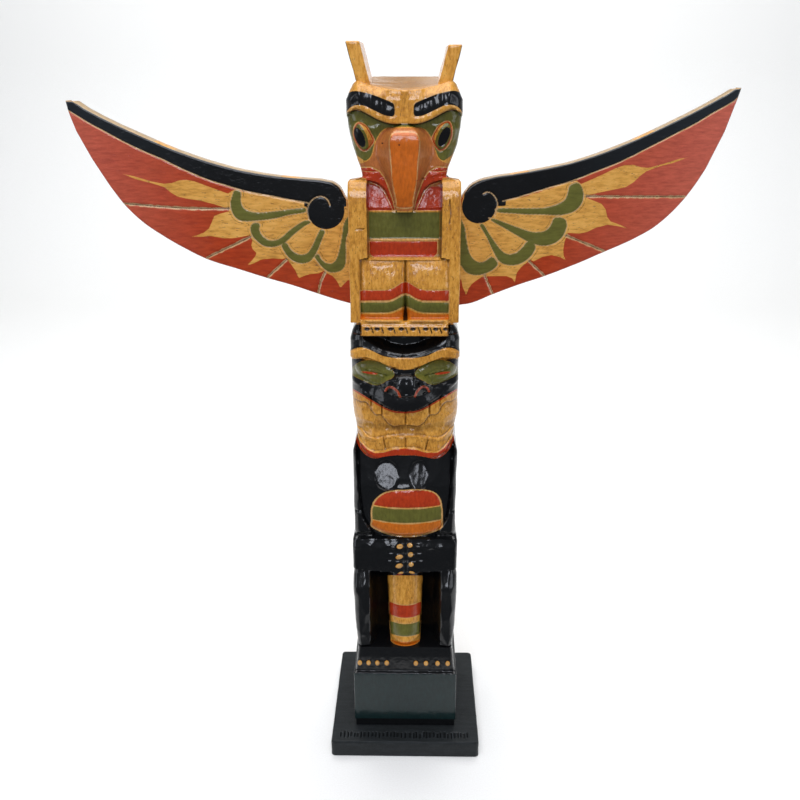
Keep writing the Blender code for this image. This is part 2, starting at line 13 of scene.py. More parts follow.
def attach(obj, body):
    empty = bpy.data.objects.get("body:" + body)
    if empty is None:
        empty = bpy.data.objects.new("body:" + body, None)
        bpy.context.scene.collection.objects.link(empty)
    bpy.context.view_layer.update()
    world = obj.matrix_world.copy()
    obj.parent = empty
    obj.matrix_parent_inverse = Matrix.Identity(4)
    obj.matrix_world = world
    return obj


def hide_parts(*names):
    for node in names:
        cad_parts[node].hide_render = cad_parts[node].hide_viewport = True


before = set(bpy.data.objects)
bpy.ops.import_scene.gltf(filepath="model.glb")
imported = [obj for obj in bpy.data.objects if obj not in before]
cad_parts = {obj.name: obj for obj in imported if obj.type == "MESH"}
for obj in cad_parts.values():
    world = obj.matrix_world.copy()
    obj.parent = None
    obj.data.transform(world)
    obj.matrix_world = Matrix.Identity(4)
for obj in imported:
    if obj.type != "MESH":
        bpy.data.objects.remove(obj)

log = logging.getLogger("totem")

Array = np.ndarray
Fields = dict[str, Array]
Spot = tuple[float, float]

MM = 0.001

# Fields hold how many mm inside a painted edge each vertex is, from FAR outside it to DEEP inside it.
FAR, DEEP = -4.0, 6.0

# The carving is drawn on a sheet at the face of the stock, as an eye in front of the post sees it, in mm.
EYE_X, EYE_Y, EYE_Z = 8.0, -594.0, 486.0
SHEET_Y = -38.1


class Node(str, Enum):
    """The measured solids that this scene dresses."""

    POLE = "pole"
    WING_LEFT = "wing_left"
    WING_RIGHT = "wing_right"
    PLATE = "base_plate"


class Slot(str, Enum):
    """Material slots of the record."""

    POLE = "carved_pole"
    WING = "painted_wing"
    PLATE = "charcoal_plate"


class Layer(str, Enum):
    """Coats on the wood, each a field of the mesh that holds how many mm inside its edge a vertex is."""

    RUST = "rust"
    ORANGE = "orange"
    GREEN = "green"
    RED = "red"
    BLACK = "black"
    # Black paint on the base block, with a teal tint that is a painted reflection.
    BLOCK = "block"
    BARE = "bare"
    # Painted shade: a dark colour in recesses, grooves, cracks and under overhangs; on the horns' outer edges
    # it is a dark painted strip.
    SOOT = "soot"


def linear(code: str) -> tuple[float, float, float, float]:
    """Turn an sRGB hex colour into linear light.

    Args:
        code: Six hex digits, with or without the hash.

    Returns:
        Red, green, blue and an alpha of 1.
    """
    parts = [int(code.lstrip("#")[i:i + 2], 16) / 255.0 for i in (0, 2, 4)]
    r, g, b = [c / 12.92 if c <= 0.04045 else ((c + 0.055) / 1.055) ** 2.4 for c in parts]
    return (r, g, b, 1.0)


# Shapes on the sheet, in millimetres

def ramp(value: Array, start: float, end: float) -> Array:
    """0 before start, 1 after end, with an even S curve between them."""
    share = np.clip((value - start) / (end - start), 0.0, 1.0)
    return share * share * (3.0 - 2.0 * share)


def step(value: Array, edge: Any, slope: float = 0.55) -> Array:
    """The wall of a carved step, as steep as the knife leaves it."""
    return ramp(value - edge, -slope, slope)


def smooth_line(at: Array, points: Sequence[Spot]) -> Array:
    """Height of the smooth line through the points, read at each place.

    Args:
        at: Places to read.
        points: Place and height of each point, in order.

    Returns:
        The heights.
    """
    places, heights = np.array(points, float).T
    slopes = np.gradient(heights, places)
    i = np.clip(np.searchsorted(places, at) - 1, 0, len(places) - 2)
    span = places[i + 1] - places[i]
    share = np.clip((at - places[i]) / span, 0.0, 1.0)
    past = 1.0 - share
    ends = heights[i] * (1.0 + 2.0 * share) * past**2 + heights[i + 1] * (3.0 - 2.0 * share) * share**2
    return ends + (slopes[i] * share * past**2 - slopes[i + 1] * share**2 * past) * span


def straight_line(at: Array, points: Sequence[Spot]) -> Array:
    """Height of the straight-sided line through the points, read at each place."""
    places, heights = np.array(points, float).T
    return np.interp(at, places, heights)


def oval(x: Array, z: Array, centre: Spot, half: Spot, turn: float = 0.0) -> Array:
    """Level of an oval hill: 1 in the middle, 0 on the oval's rim and below 0 outside it.

    Args:
        x: Places along the sheet.
        z: Heights on the sheet.
        centre: Middle of the oval.
        half: Half of its width and of its height.
        turn: How far it is turned, in radians.

    Returns:
        The level at each place.
    """
    c, s = math.cos(turn), math.sin(turn)
    across = ((x - centre[0]) * c + (z - centre[1]) * s) / half[0]
    along = ((z - centre[1]) * c - (x - centre[0]) * s) / half[1]
    return 1.0 - across**2 - along**2


def oval_inside(x: Array, z: Array, centre: Spot, half: Spot, turn: float = 0.0) -> Array:
    """About how many mm inside an oval each place is."""
    level = np.sqrt(np.maximum(1.0 - oval(x, z, centre, half, turn), 1e-6))
    return (1.0 - level) * min(half)


def dome(x: Array, z: Array, centre: Spot, half: Spot, height: float, turn: float = 0.0) -> Array:
    """A smooth swelling of the surface over an oval."""
    return height * np.sqrt(np.clip(oval(x, z, centre, half, turn), 0.0, 1.0))


def groove(distance: Array, width: float, depth: float) -> Array:
    """A V cut along the line where distance is nought."""
    return -depth * np.clip(1.0 - np.abs(distance) / (width / 2), 0.0, 1.0)


def between(value: Array, low: Any, high: Any) -> Array:
    """How many mm inside a band each place is."""
    return np.minimum(value - low, high - value)


def union(*parts: Array) -> Array:
    """The greater of several inside distances."""
    return np.maximum.reduce(parts)


def both(*parts: Array) -> Array:
    """The lesser of several inside distances."""
    return np.minimum.reduce(parts)


def wander(x: Array, z: Array, size: float, seed: int) -> Array:
    """Smooth seeded noise between -1 and 1, with bumps about size mm across.

    Args:
        x: Places across.
        z: Places up.
        size: Size of a bump.
        seed: Which noise it is.

    Returns:
        The noise at each place.
    """
    table = np.random.default_rng(seed).uniform(-1.0, 1.0, (61, 67))
    u, v = x / size, z / size
    i, j = np.floor(u).astype(int), np.floor(v).astype(int)
    fu, fv = u - i, v - j
    fu, fv = fu * fu * (3 - 2 * fu), fv * fv * (3 - 2 * fv)

    def at(di: int, dj: int) -> Array:
        """Noise at one corner of each place's cell."""
        return table[(i + di) % 61, (j + dj) % 67]

    low = at(0, 0) * (1 - fu) + at(1, 0) * fu
    high = at(0, 1) * (1 - fu) + at(1, 1) * fu
    return low * (1 - fv) + high * fv


def knife_cuts(x: Array, z: Array, cell: Spot, seed: int, slant: float = 0.5) -> Array:
    """Dished cuts side by side, each with its own slant, that meet in ridges.

    Args:
        x: Places across.
        z: Places up.
        cell: Width and height of a cut.
        seed: Which set of cuts it is.
        slant: How far a cut may lean.

    Returns:
        About -0.4 in the bottom of a cut and 0.4 on a ridge.
    """
    rng = np.random.default_rng(seed)
    jitter = rng.uniform(0.15, 0.85, (41, 43, 2))
    lean = rng.uniform(-slant, slant, (41, 43, 2))
    u, v = x / cell[0], z / cell[1]
    i, j = np.floor(u).astype(int), np.floor(v).astype(int)
    best = np.full(np.shape(u), 9.0)
    for di in (-1, 0, 1):
        for dj in (-1, 0, 1):
            a, b = (i + di) % 41, (j + dj) % 43
            du = u - (i + di) - jitter[a, b, 0]
            dv = v - (j + dj) - jitter[a, b, 1]
            best = np.minimum(best, du * du + dv * dv + lean[a, b, 0] * du + lean[a, b, 1] * dv)
    return np.clip(2.0 * best - 0.2, -0.5, 0.8)


def smooth_curve(spots: Array, cuts: int) -> Array:
    """A smooth curve through a row of points, whose first and last point only steer it.

    Args:
        spots: One row of place and height for each point.
        cuts: Straight stretches from one point to the next.

    Returns:
        The curve's points, from the second point up to, but without, the last but one.
    """
    share = (np.arange(cuts) / cuts)[:, None, None]
    a, b, c, d = (spots[i:len(spots) - 3 + i][None] for i in range(4))
    curve = 0.5 * (2 * b + (c - a) * share + (2 * a - 5 * b + 4 * c - d) * share**2
                   + (3 * b - a - 3 * c + d) * share**3)
    return curve.transpose(1, 0, 2).reshape(-1, 2)


def close_to(x: Array, z: Array, line: Array) -> Array:
    """Which places lie in a line's box, or less than 4 mm outside it.

    Args:
        x: Places along the sheet.
        z: Heights on the sheet.
        line: One row of place and height for each point of the line.

    Returns:
        True where a place is near the line.
    """
    low, high = line.min(axis=0) + FAR, line.max(axis=0) - FAR
    return (x > low[0]) & (x < high[0]) & (z > low[1]) & (z < high[1])


def distance(x: Array, z: Array, line: Array) -> Array:
    """How far each place is from a line, up to 4 mm.

    Args:
        x: Places along the sheet.
        z: Heights on the sheet.
        line: One row of place and height for each point of the line.

    Returns:
        Distances in mm, never below nought.
    """
    best = np.full(x.shape, FAR * FAR)
    for (ax, az), (bx, bz) in zip(line, line[1:]):
        ex, ez = bx - ax, bz - az
        share = np.clip(((x - ax) * ex + (z - az) * ez) / max(ex * ex + ez * ez, 1e-9), 0.0, 1.0)
        best = np.minimum(best, (x - ax - share * ex) ** 2 + (z - az - share * ez) ** 2)
    return np.sqrt(best)


@dataclass(frozen=True)
class Outline:
    """A closed shape on a sheet. Its corners are rounded off when smooth is set."""

    points: tuple[Spot, ...]
    smooth: bool = True
    cuts: int = 5

    def line(self) -> Array:
        """The points of the closed line, the first one again at the end.

        Returns:
            One row of place and height for each point.
        """
        spots = np.array(self.points, float)
        ring = smooth_curve(np.vstack([spots[-1:], spots, spots[:2]]), self.cuts) if self.smooth else spots
        return np.vstack([ring, ring[:1]])

    def inside(self, x: Array, z: Array) -> Array:
        """How many mm inside the shape each place is: below nought outside it, and never under FAR.

        Args:
            x: Places along the sheet.
            z: Heights on the sheet.

        Returns:
            Signed distances to the closed line.
        """
        line = self.line()
        found = np.full(np.shape(x), FAR)
        near = close_to(x, z, line)
        px, pz = x[near], z[near]
        within = np.zeros(px.shape, bool)
        for (ax, az), (bx, bz) in zip(line, line[1:]):
            if az != bz:
                within ^= ((az > pz) != (bz > pz)) & (px < ax + (pz - az) * (bx - ax) / (bz - az))
        gap = distance(px, pz, line)
        found[near] = np.where(within, gap, np.maximum(-gap, FAR))
        return found


@dataclass(frozen=True)
class Route:
    """An open line that a knife follows across a sheet."""

    points: tuple[Spot, ...]
    cuts: int = 6

    def away(self, x: Array, z: Array) -> Array:
        """How many mm each place is from the line, up to 4.

        Args:
            x: Places along the sheet.
            z: Heights on the sheet.

        Returns:
            Distances to the line.
        """
        spots = np.array(self.points, float)
        steered = np.vstack([2 * spots[0] - spots[1], spots, 2 * spots[-1] - spots[-2]])
        line = np.vstack([smooth_curve(steered, self.cuts), spots[-1:]])
        found = np.full(np.shape(x), -FAR)
        near = close_to(x, z, line)
        found[near] = distance(x[near], z[near], line)
        return found


def on_sheet(x: Array, z: Array, depth: Array) -> tuple[Array, Array]:
    """Where a place of the carved front lies on the drawing.

    Args:
        x: Distances from the middle line.
        z: Heights above the table.
        depth: How far each place stands before the middle plane.

    Returns:
        The place's distance from the middle line and its height, on the plane of the stock's face.
    """
    share = (SHEET_Y - EYE_Y) / (-depth - EYE_Y)
    return EYE_X + (x - EYE_X) * share, EYE_Z + (z - EYE_Z) * share


# The carved post

STOCK = 76.2
FOOT = 13.8
HEAD_TOP = 474.0
HORN_TOP = 499.0
BACK_PLANE = 36.0

# Heights at which one carved form gives way to the next.
BLOCK_INSET_TOP = 20.0
FEET_LOW = 62.0
LEGS_LOW = 84.0
BODY_LOW = 174.0
TOES_LOW = 322.0
SLATS_LOW = 330.5
THIGHS_LOW = 332.0
CHEST_LOW = 371.0
NECK_LOW = 422.0
CROWN_LOW = 452.0

# The shoulders fall away behind the upright boards: where that starts, and how far they fall at the back.
SHOULDER_LOW = 404.0
SHOULDER_FRONT = -30.0
SHOULDER_INNER = 24.8
SHOULDER_FALL = 9.5

# The top of the head: its height at the front and how far it rises to the back, towards the horns and out to
# the corners.
CROWN_FRONT = 470.8
CROWN_RISE = 7.2
CROWN_DISH = 5.4
CROWN_CORNER_FALL = 7.0

# Depths before the middle plane: the block's inset foot and the bird's face behind its beak. Then how wide the
# step from the block's sawn face to the feet is.
INSET_DEPTH = 36.8
FACE_DEPTH = 31.5
SAWN_SLOPE = 0.16

SILHOUETTE: tuple[Spot, ...] = (
    (13.8, 37.4), (19.5, 37.4), (20.5, 38.1), (61.5, 38.1), (62.5, 36.8), (66, 36.2), (80, 34.8), (84, 34.6),
    (92, 35.6), (105, 36.6), (128, 37.5), (140, 37.5), (147.5, 36.5), (149.5, 36.9), (172, 36.9), (176, 35.6),
    (194, 35.6), (238, 36.0), (243, 34.6), (248, 33.0), (253, 34.0), (260, 35.6), (268, 36.2), (284, 36.2),
    (300, 36.2), (318, 36.0), (324, 34.4), (329.5, 31.2), (330.5, 35.0), (418.5, 35.0), (420.5, 33.6),
    (421.5, 26.2), (427, 27.2), (432, 29.2), (440, 32.2), (450, 34.2), (460, 35.2), (468, 35.0), (473, 32.8),
    (476, 30.2),
)
CORNER: tuple[Spot, ...] = (
    (13.8, 0.8), (61.0, 0.8), (64.0, 1.6), (86.0, 3.0), (95.0, 4.5), (146.0, 4.5), (148.0, 3.0), (172.0, 3.0),
    (178.0, 5.0), (236.0, 6.0), (242.0, 10.0), (284.0, 10.0), (300.0, 8.0), (322.0, 8.0), (330.0, 5.0),
    (331.0, 1.2), (419.0, 1.2), (422.0, 7.0), (440.0, 9.0), (476.0, 9.0),
)
HANDS_LOW = ((0, 146.5), (20, 148.0), (38, 150.0))
CHIN_LOW = ((0, 237.5), (8, 237.5), (16, 235.6), (23, 236.0), (28, 239.5), (32, 245.0), (38, 256.0))
LIP_LOW = (
    (0, 243.5), (8, 243.0), (16, 240.4), (21, 239.6), (26, 241.6), (30, 245.6), (34, 251.5), (38, 260.0),
)
LIP_HIGH = ((0, 271.0), (8, 272.0), (14, 274.3), (18, 276.6), (25, 280.6), (31, 284.0), (38, 288.0))
BAND_LOW = ((0, 300.0), (5, 300.6), (11, 302.0), (18, 305.2), (26, 307.6), (34, 306.4), (38, 305.6))
BAND_HIGH = ((0, 307.4), (5, 307.8), (12, 309.8), (20, 312.6), (27, 314.2), (34, 311.4), (38, 309.0))
HOLLOW_HIGH = ((0, 310.2), (10, 312.0), (20, 316.4), (27, 321.4), (38, 326.0))
BROW_LOW = (
    (0, 452.6), (8, 452.8), (15, 455.0), (20, 457.4), (25, 459.8), (30, 460.6), (34, 457.6), (38, 452.0),
)
BEAK_SIDE = (
    (400.0, 4.8), (404.0, 5.4), (412.0, 7.6), (420.0, 10.6), (427.0, 14.6), (434.0, 18.2), (440.0, 17.6),
    (446.0, 14.6), (450.0, 10.8), (452.0, 4.0),
)
BEAK_FRONT = (
    (400.0, 4.8), (404.0, 5.2), (420.0, 7.4), (430.0, 8.0), (444.0, 8.5), (448.0, 7.8), (450.5, 5.5),
    (452.0, 2.0),
)
BEAK_PROFILE = (
    (400.0, 41.0), (405.0, 43.5), (412.0, 45.8), (425.0, 47.0), (436.0, 47.0), (445.8, 47.0),
    (447.2, 46.7), (449.3, 44.6), (452.5, 37.0),
)
JAW_LOW = ((0, 401.0), (5.5, 402.0), (8, 406.0), (12, 413.8), (15.5, 417.0), (22, 419.2), (28, 420.6))
BILL_SLIT = ((0, 398.0), (7, 408.0), (11, 419.0), (15, 424.0), (20, 425.6), (28, 425.4))
UPPER_TEETH = ((0, 259.6), (12, 261.0), (15.5, 266.0), (22, 268.0), (24, 272.0), (32, 274.0))
LOWER_TEETH = ((0, 251.6), (13, 251.0), (16, 250.0), (26, 250.0), (30, 253.0))
ARM_EDGE = ((173.0, 21.0), (180.0, 24.0), (188.0, 28.6), (200.0, 30.6), (225.0, 32.4), (240.0, 33.4))
UPPER_GAPS = (0.0, 15.8, 23.0)
LOWER_GAPS = ((0.0, 0.0), (14.6, 0.4))
PIN_HOLES = ((-3.0, 441.0), (-13.0, 442.0))
TOE_CUTS = (-20.5, -14.0, -6.5, 1.5, 9.5, 17.0, 23.2)
BIRD_CLAWS = (-24.0, -17.5, -9.0, -2.0, 5.5, 13.5, 20.0, 26.4)
BEAR_EYES = ((-1.0, -19.0), (1.0, 21.0))
BIRD_EYES = ((-1.0, -26.4), (1.0, 24.2))


class Carving:
    """How far the carved front stands before the post's middle plane, zone by zone from the feet up."""

    def feet(self, x: Array, z: Array) -> Array:
        """The bear's feet, with insteps that run back to the legs."""
        return np.minimum(INSET_DEPTH - 1.7 * (z - FEET_LOW) / 17.0, 35.5 - 9.0 * ramp(z, 82.4, 84.4))

    def legs(self, x: Array, z: Array) -> Array:
        """Two legs with knees and the log between them, in a deep recess.

        Args:
            x: Distances from the middle line.
            z: Heights above the table.

        Returns:
            How far the surface stands before the post's middle plane.
        """
        side = np.abs(x)
        leg = 23.0 + 12.5 * ramp(side, 20.5, 26.0) - 1.2 * ((side - 31.0) / 6.0) ** 2
        leg += 1.1 * knife_cuts(x, z, (6.5, 19.0), 11) * ramp(side, 20.0, 27.0)
        leg -= 7.0 * ramp(z, 131.0, 147.0)
        log_front = 33.8 - (14.0 - np.sqrt(np.clip(196.0 - x**2, 0.0, None)))
        log_front -= 0.8 * ramp(0.03 * x**2 - z, -86.5, -83.8)
        half = 12.4 - 1.6 * ramp(-z, -140.0, -86.0)
        return np.where(side < half, log_front, np.where(side < half + 0.7, 23.0, leg))

    def hands(self, x: Array, z: Array) -> Array:
        """Both forearms in one band, with the fingers meeting in the middle.

        Args:
            x: Distances from the middle line.
            z: Heights above the table.

        Returns:
            How far the surface stands before the post's middle plane.
        """
        side = np.abs(x - 0.4)
        band = 38.0 - 1.6 * ramp(z, 167.0, 173.5) - 1.6 * np.exp(-((side / 2.0) ** 2))
        for finger in (1, 2, 3):
            band = band + groove(z - 150.0 - 6.0 * finger - 0.12 * side, 1.2, 0.5) * (side < 14.0 - finger)
        return band + (0.25 + 0.9 * ramp(z, 165.0, 169.0)) * knife_cuts(x, z, (8.0, 9.0), 12) - 0.3

    def body(self, x: Array, z: Array) -> Array:
        """Chest, round belly and the upper arms down both sides.

        Args:
            x: Distances from the middle line.
            z: Heights above the table.

        Returns:
            How far the surface stands before the post's middle plane.
        """
        side = np.abs(x)
        chest = 34.0 - 0.23 * np.clip(z - 213.0, 0.0, 23.0) - 2.0 * (side / 30.0) ** 2
        chest = chest + 0.35 * knife_cuts(x, z, (9.0, 12.0), 13) * ramp(z, 212.0, 216.0)
        for centre, wide in ((-12.5, 9.5), (9.5, 7.5)):
            flat = ramp(oval(x, z, (centre, 221.0), (wide, 11.0)), 0.0, 0.4)
            chest = chest - (0.2 * (z - 221.0) + 0.03 * (x - centre)) * flat
        chest = chest + 3.0 * ramp(oval(x, z, (1.0, 192.0), (31.0, 25.0)), 0.0, 0.85)
        arm = 34.0 - 1.0 * ramp(z, 200.0, 240.0) + 0.5 * knife_cuts(x, z, (4.0, 22.0), 14)
        edge = smooth_line(z, ARM_EDGE)
        front = chest + (arm - chest) * step(side, edge) + groove(side - edge, 2.0, 1.4)
        return front + groove(z - 194.0, 2.4, 1.4) * (side > 31.0) - 2.5 * ramp(-z, -179.0, -174.0)

    @staticmethod
    def muzzle_round(x: Array) -> Array:
        """How far the bear's face falls back from its middle line."""
        return 9.0 * (np.abs(x) / 34.0) ** 2.2

    def mouth(self, x: Array, z: Array) -> Array:
        """The open mouth with two rows of teeth.

        Args:
            x: Distances from the middle line.
            z: Heights above the table.

        Returns:
            How far the surface stands before the post's middle plane.
        """
        side = np.abs(x - 0.6)
        gum = 34.0 - self.muzzle_round(x) - 1.2 * np.exp(-(((z - 257.0) / 4.0) ** 2))
        gum = gum + 0.7 * knife_cuts(x, z, (7.0, 5.0), 15) * (1.0 - ramp(side, 30.0, 34.0))
        upper, lower = smooth_line(side, UPPER_TEETH), smooth_line(side, LOWER_TEETH)
        gum = gum + 2.2 * step(z, upper) + 1.5 * step(-z, -lower)
        for tooth in UPPER_GAPS:
            gum = gum + groove(side - tooth, 1.5, 1.8) * step(z, upper)
        for tooth, lean in LOWER_GAPS:
            gum = gum + groove(side - tooth - lean * (z - 247.0) / 2.0, 1.4, 1.5) * step(-z, -lower)
        return gum

    def lower_lip(self, x: Array, z: Array) -> Array:
        """A rounded rim under the lower teeth."""
        return 37.2 - self.muzzle_round(x)

    def brow_band(self, x: Array, z: Array) -> Array:
        """The smooth band over the bear's eyes, left at the face of the stock."""
        return np.full(np.shape(x), STOCK / 2)

    def face(self, x: Array, z: Array) -> Array:
        """Muzzle, nose with its nostrils, cheeks and the two round eyes.

        Args:
            x: Distances from the middle line.
            z: Heights above the table.

        Returns:
            How far the surface stands before the post's middle plane.
        """
        side = np.abs(x - 0.8)
        front = 37.0 - 5.0 * ramp(side, 4.0, 26.0) - 4.0 * (side / 34.0) ** 3
        front = front + 3.0 * ramp(-z, -290.0, -276.0) * (1.0 - ramp(side, 12.0, 34.0))
        front = front - 3.2 * ramp(z, 286.0, 292.0) * ramp(side, 5.0, 9.0)
        cheeks = 0.9 * knife_cuts(x, z, (9.5, 12.0), 16)
        front = front + cheeks * ramp(side, 13.0, 18.0) * ramp(-z, -291.0, -287.0)
        dip = 1.4 * np.exp(-(((x - 1.0) / 3.0) ** 2)) * ramp(z, 283, 285)
        front = front + (dome(x, z, (1.0, 289.0), (17.5, 8.0), 7.4) - dip)
        for centre in (-8.4, 11.2):
            front = front - dome(x, z, (centre, 285.6), (3.6, 3.2), 3.2)
            rim = np.sqrt(np.maximum(1.0 - oval(x, z, (centre, 285.2), (5.0, 4.8)), 0.0))
            front = front + 0.7 * np.exp(-(((rim - 1.0) / 0.22) ** 2)) * ramp(z, 282.0, 285.0)
        front = front + 2.6 * np.exp(-(((x - 0.6) / 5.0) ** 2)) * ramp(z, 292.0, 298.0)
        for way, centre in BEAR_EYES:
            front = front + dome(x, z, (centre, 296.6), (14.5, 8.4), 5.2, way * math.radians(6.0))
            slit = (z - 296.0) - way * 0.14 * (x - centre)
            lid = slit + 0.05 * (x - centre) ** 2 - 2.6
            inside = 1.0 - ramp(np.abs(x - centre), 7.0, 8.5)
            front = front + (groove(slit, 1.8, 1.3) + groove(lid, 1.1, 0.5)) * inside
        return front

    def forehead(self, x: Array, z: Array) -> Array:
        """The hollow above the brow band, under the bird's toes.

        Args:
            x: Distances from the middle line.
            z: Heights above the table.

        Returns:
            How far the surface stands before the post's middle plane.
        """
        side = np.abs(x)
        lip = smooth_line(side, HOLLOW_HIGH)
        slope = 37.0 - 8.5 * ramp(z, lip - 1.5, lip + 4.0) + 0.9 * knife_cuts(x, z, (12.0, 8.0), 17)
        above = np.clip(z - smooth_line(side, BAND_HIGH), 0.0, 7.0)
        slope = slope - 0.3 * ramp(side, 9.0, 13.0) * above
        ears = 33.5 - 2.0 * ramp(z, 318.0, 330.0)
        return slope + (ears - slope) * ramp(side, 27.0, 30.0)

    def toes(self, x: Array, z: Array) -> Array:
        """Eight bird toes on one ledge.

        Args:
            x: Distances from the middle line.
            z: Heights above the table.

        Returns:
            How far the surface stands before the post's middle plane.
        """
        ledge = 39.4 - 0.8 * ramp(z, 328.5, 331.0) + np.zeros(np.shape(x))
        for cut in TOE_CUTS:
            inside = between(z, 324.3, 328.4).clip(0.0, 1.0)
            ledge = ledge + groove(x - cut + 0.3 * (z - 326.0), 1.1, 1.0) * inside
        for claw in BIRD_CLAWS:
            ledge = ledge - dome(x, z, (claw, 327.2), (1.9, 1.2), 1.3)
        return ledge

    def thighs(self, x: Array, z: Array) -> Array:
        """Two full thighs with a cleft between them, over a narrow foot.

        Args:
            x: Distances from the middle line.
            z: Heights above the table.

        Returns:
            How far the surface stands before the post's middle plane.
        """
        bulge = 5.6 * np.sqrt(np.clip(1.0 - ((z - 346.0) / 26.0) ** 2, 0.0, 1.0))
        about = (np.abs(x - 0.4) - 14.0) / 14.6
        flesh = 32.0 + bulge * np.sqrt(np.clip(1.0 - np.abs(about) ** 4, 0.0, 1.0)) + 0.9
        flesh = flesh + 0.3 * knife_cuts(x, z, (8.0, 8.0), 18) * ramp(z, 352.0, 358.0)
        flesh = flesh - 1.4 * ramp(-z, -345.0, -333.0)
        wide = 0.8 + 0.12 * np.clip(345.0 - z, 0.0, 8.0)
        flesh = flesh - (1.4 + 2.2 * ramp(-z, -350.0, -342.0)) * np.exp(-(((x - 0.6) / wide) ** 2))
        return flesh + 3.5 * ramp(-z, -334.2, -332.8)

    def chest(self, x: Array, z: Array) -> Array:
        """The bird's flat chest in three steps, with a ledge over the thighs.

        Args:
            x: Distances from the middle line.
            z: Heights above the table.

        Returns:
            How far the surface stands before the post's middle plane.
        """
        front = 31.2 + 0.9 * ramp(-z, -384.6, -383.6) - 1.0 * (np.abs(x) / 22.0) ** 4
        upper = 0.15 * knife_cuts(x, z, (6.0, 5.0), 19) * step(z, 402.6)
        front = front - 0.24 * np.clip(z - 402.4, 0.0, 18.0) + upper
        front = front + 0.3 * knife_cuts(x, z, (12.0, 8.0), 20) * ramp(z, 385.0, 387.0)
        front = front + groove(z - 401.8, 1.2, 0.7) + groove(z - 384.2, 1.2, 0.7)
        return front + 4.0 * ramp(-z, -373.4, -371.0)

    def slats(self, x: Array, z: Array) -> Array:
        """The plain upright boards of the folded arms, with round tops and two cracks.

        Args:
            x: Distances from the middle line.
            z: Heights above the table.

        Returns:
            How far the surface stands before the post's middle plane.
        """
        top = np.clip((z - 406.5) / 14.3, 0.0, 1.0)
        face = 37.0 - 8.0 * (1.0 - np.sqrt(np.clip(1.0 - top**2, 0.0, 1.0)))
        face = face + 0.25 * wander(x, z, 9.0, 21) - 0.3
        across = groove(z - 392.0 - 0.05 * x, 0.9, 0.9) * (x < -24.6) * (x > -30.4)
        down = groove(x - 28.0 - 0.3 * np.sin(z / 3.0), 0.9, 0.8) * (z > 394.0) * (z < 408.5)
        return face + across + down

    def beak(self, x: Array, z: Array) -> Array:
        """The hooked beak: a narrow front facet between two cheeks that run back to the face.

        Args:
            x: Distances from the middle line.
            z: Heights above the table.

        Returns:
            How far the surface stands before the post's middle plane.
        """
        side = np.abs(x - 0.2)
        ridge = smooth_line(z, BEAK_PROFILE)
        facet, outer = straight_line(z, BEAK_FRONT), straight_line(z, BEAK_SIDE)
        fall = np.clip((side - facet) / np.maximum(outer - facet, 0.5), 0.0, 1.0)
        return ridge - (ridge - FACE_DEPTH) * (1.0 - (1.0 - fall) ** 1.5)

    def head(self, x: Array, z: Array) -> tuple[Array, Array]:
        """Brow, eyes, beak and jaw of the bird, and the height where the jaw ends.

        Args:
            x: Distances from the middle line.
            z: Heights above the table.

        Returns:
            Depths as for the other zones, and the heights of the jaw's lower edge.
        """
        side = np.abs(x)
        skull = 32.0 + 5.0 * step(z, smooth_line(side, BROW_LOW)) - 1.4 * ramp(z, 468.0, 476.0)
        skull = skull - 3.8 * ramp(z, 469.5, 477.0) * ramp(side, 8.0, 17.0)
        skull = skull - 2.0 * ramp(-z, -452.0, -440.0)
        cheeks = 0.7 * knife_cuts(x, z, (5.5, 9.0), 22)
        skull = skull + cheeks * ramp(-z, -453.0, -450.0) * ramp(side, 8.0, 14.0)
        brows = 0.7 * knife_cuts(x, z, (4.5, 17.0), 23)
        skull = skull + brows * ramp(z, 455.0, 460.0) * ramp(side, 6.0, 9.0)
        eyebrow = z - 464.0 - 0.28 * (side - 18.0)
        skull = skull + 0.7 * np.exp(-((eyebrow / 4.5) ** 2)) * ramp(side, 4.0, 8.0)
        for way, centre in BIRD_EYES:
            skull = skull + dome(x, z, (centre, 445.2), (7.0, 9.4), 3.4, way * math.radians(-22.0))
        lips = smooth_line(side, BILL_SLIT)
        upper, lower = (z - lips - 2.0) / 1.8, (z - lips + 2.4) / 2.0
        skull = skull + 1.4 * np.exp(-(upper**2)) + 1.4 * np.exp(-(lower**2))
        return np.maximum(skull, self.beak(x, z)), smooth_line(side, JAW_LOW)

    def front(self, x: Array, z: Array) -> Array:
        """Depth of the whole carved front at each place, in millimetres.

        Args:
            x: Distances from the middle line.
            z: Heights above the table.

        Returns:
            How far the surface stands before the post's middle plane.
        """
        side = np.abs(x)
        depth = np.where(z < BLOCK_INSET_TOP, INSET_DEPTH, STOCK / 2)
        depth = depth + (self.feet(x, z) - depth) * step(z, FEET_LOW, SAWN_SLOPE)
        for carve, edge in (
            (self.legs, LEGS_LOW), (self.hands, smooth_line(side, HANDS_LOW)), (self.body, BODY_LOW),
            (self.lower_lip, smooth_line(side, CHIN_LOW)), (self.mouth, smooth_line(side, LIP_LOW)),
            (self.face, smooth_line(side, LIP_HIGH)), (self.brow_band, smooth_line(side, BAND_LOW)),
            (self.forehead, smooth_line(side, BAND_HIGH)), (self.toes, TOES_LOW), (self.thighs, THIGHS_LOW),
            (self.chest, CHEST_LOW),
        ):
            depth = depth + (carve(x, z) - depth) * step(z, edge)
        beside_toes = step(side, 28.0) * step(z, TOES_LOW) * (1.0 - step(z, SLATS_LOW))
        depth = depth + (self.forehead(x, z) - depth) * beside_toes
        slat = step(side, 22.6 + 5.4 * step(-z, -372.0)) * step(z, SLATS_LOW)
        depth = depth + (self.slats(x, z) - depth) * slat
        head, jaw = self.head(x, z)
        return depth + (head - depth) * step(z, jaw)


# What is painted and incised on the post, as it is seen on the sheet

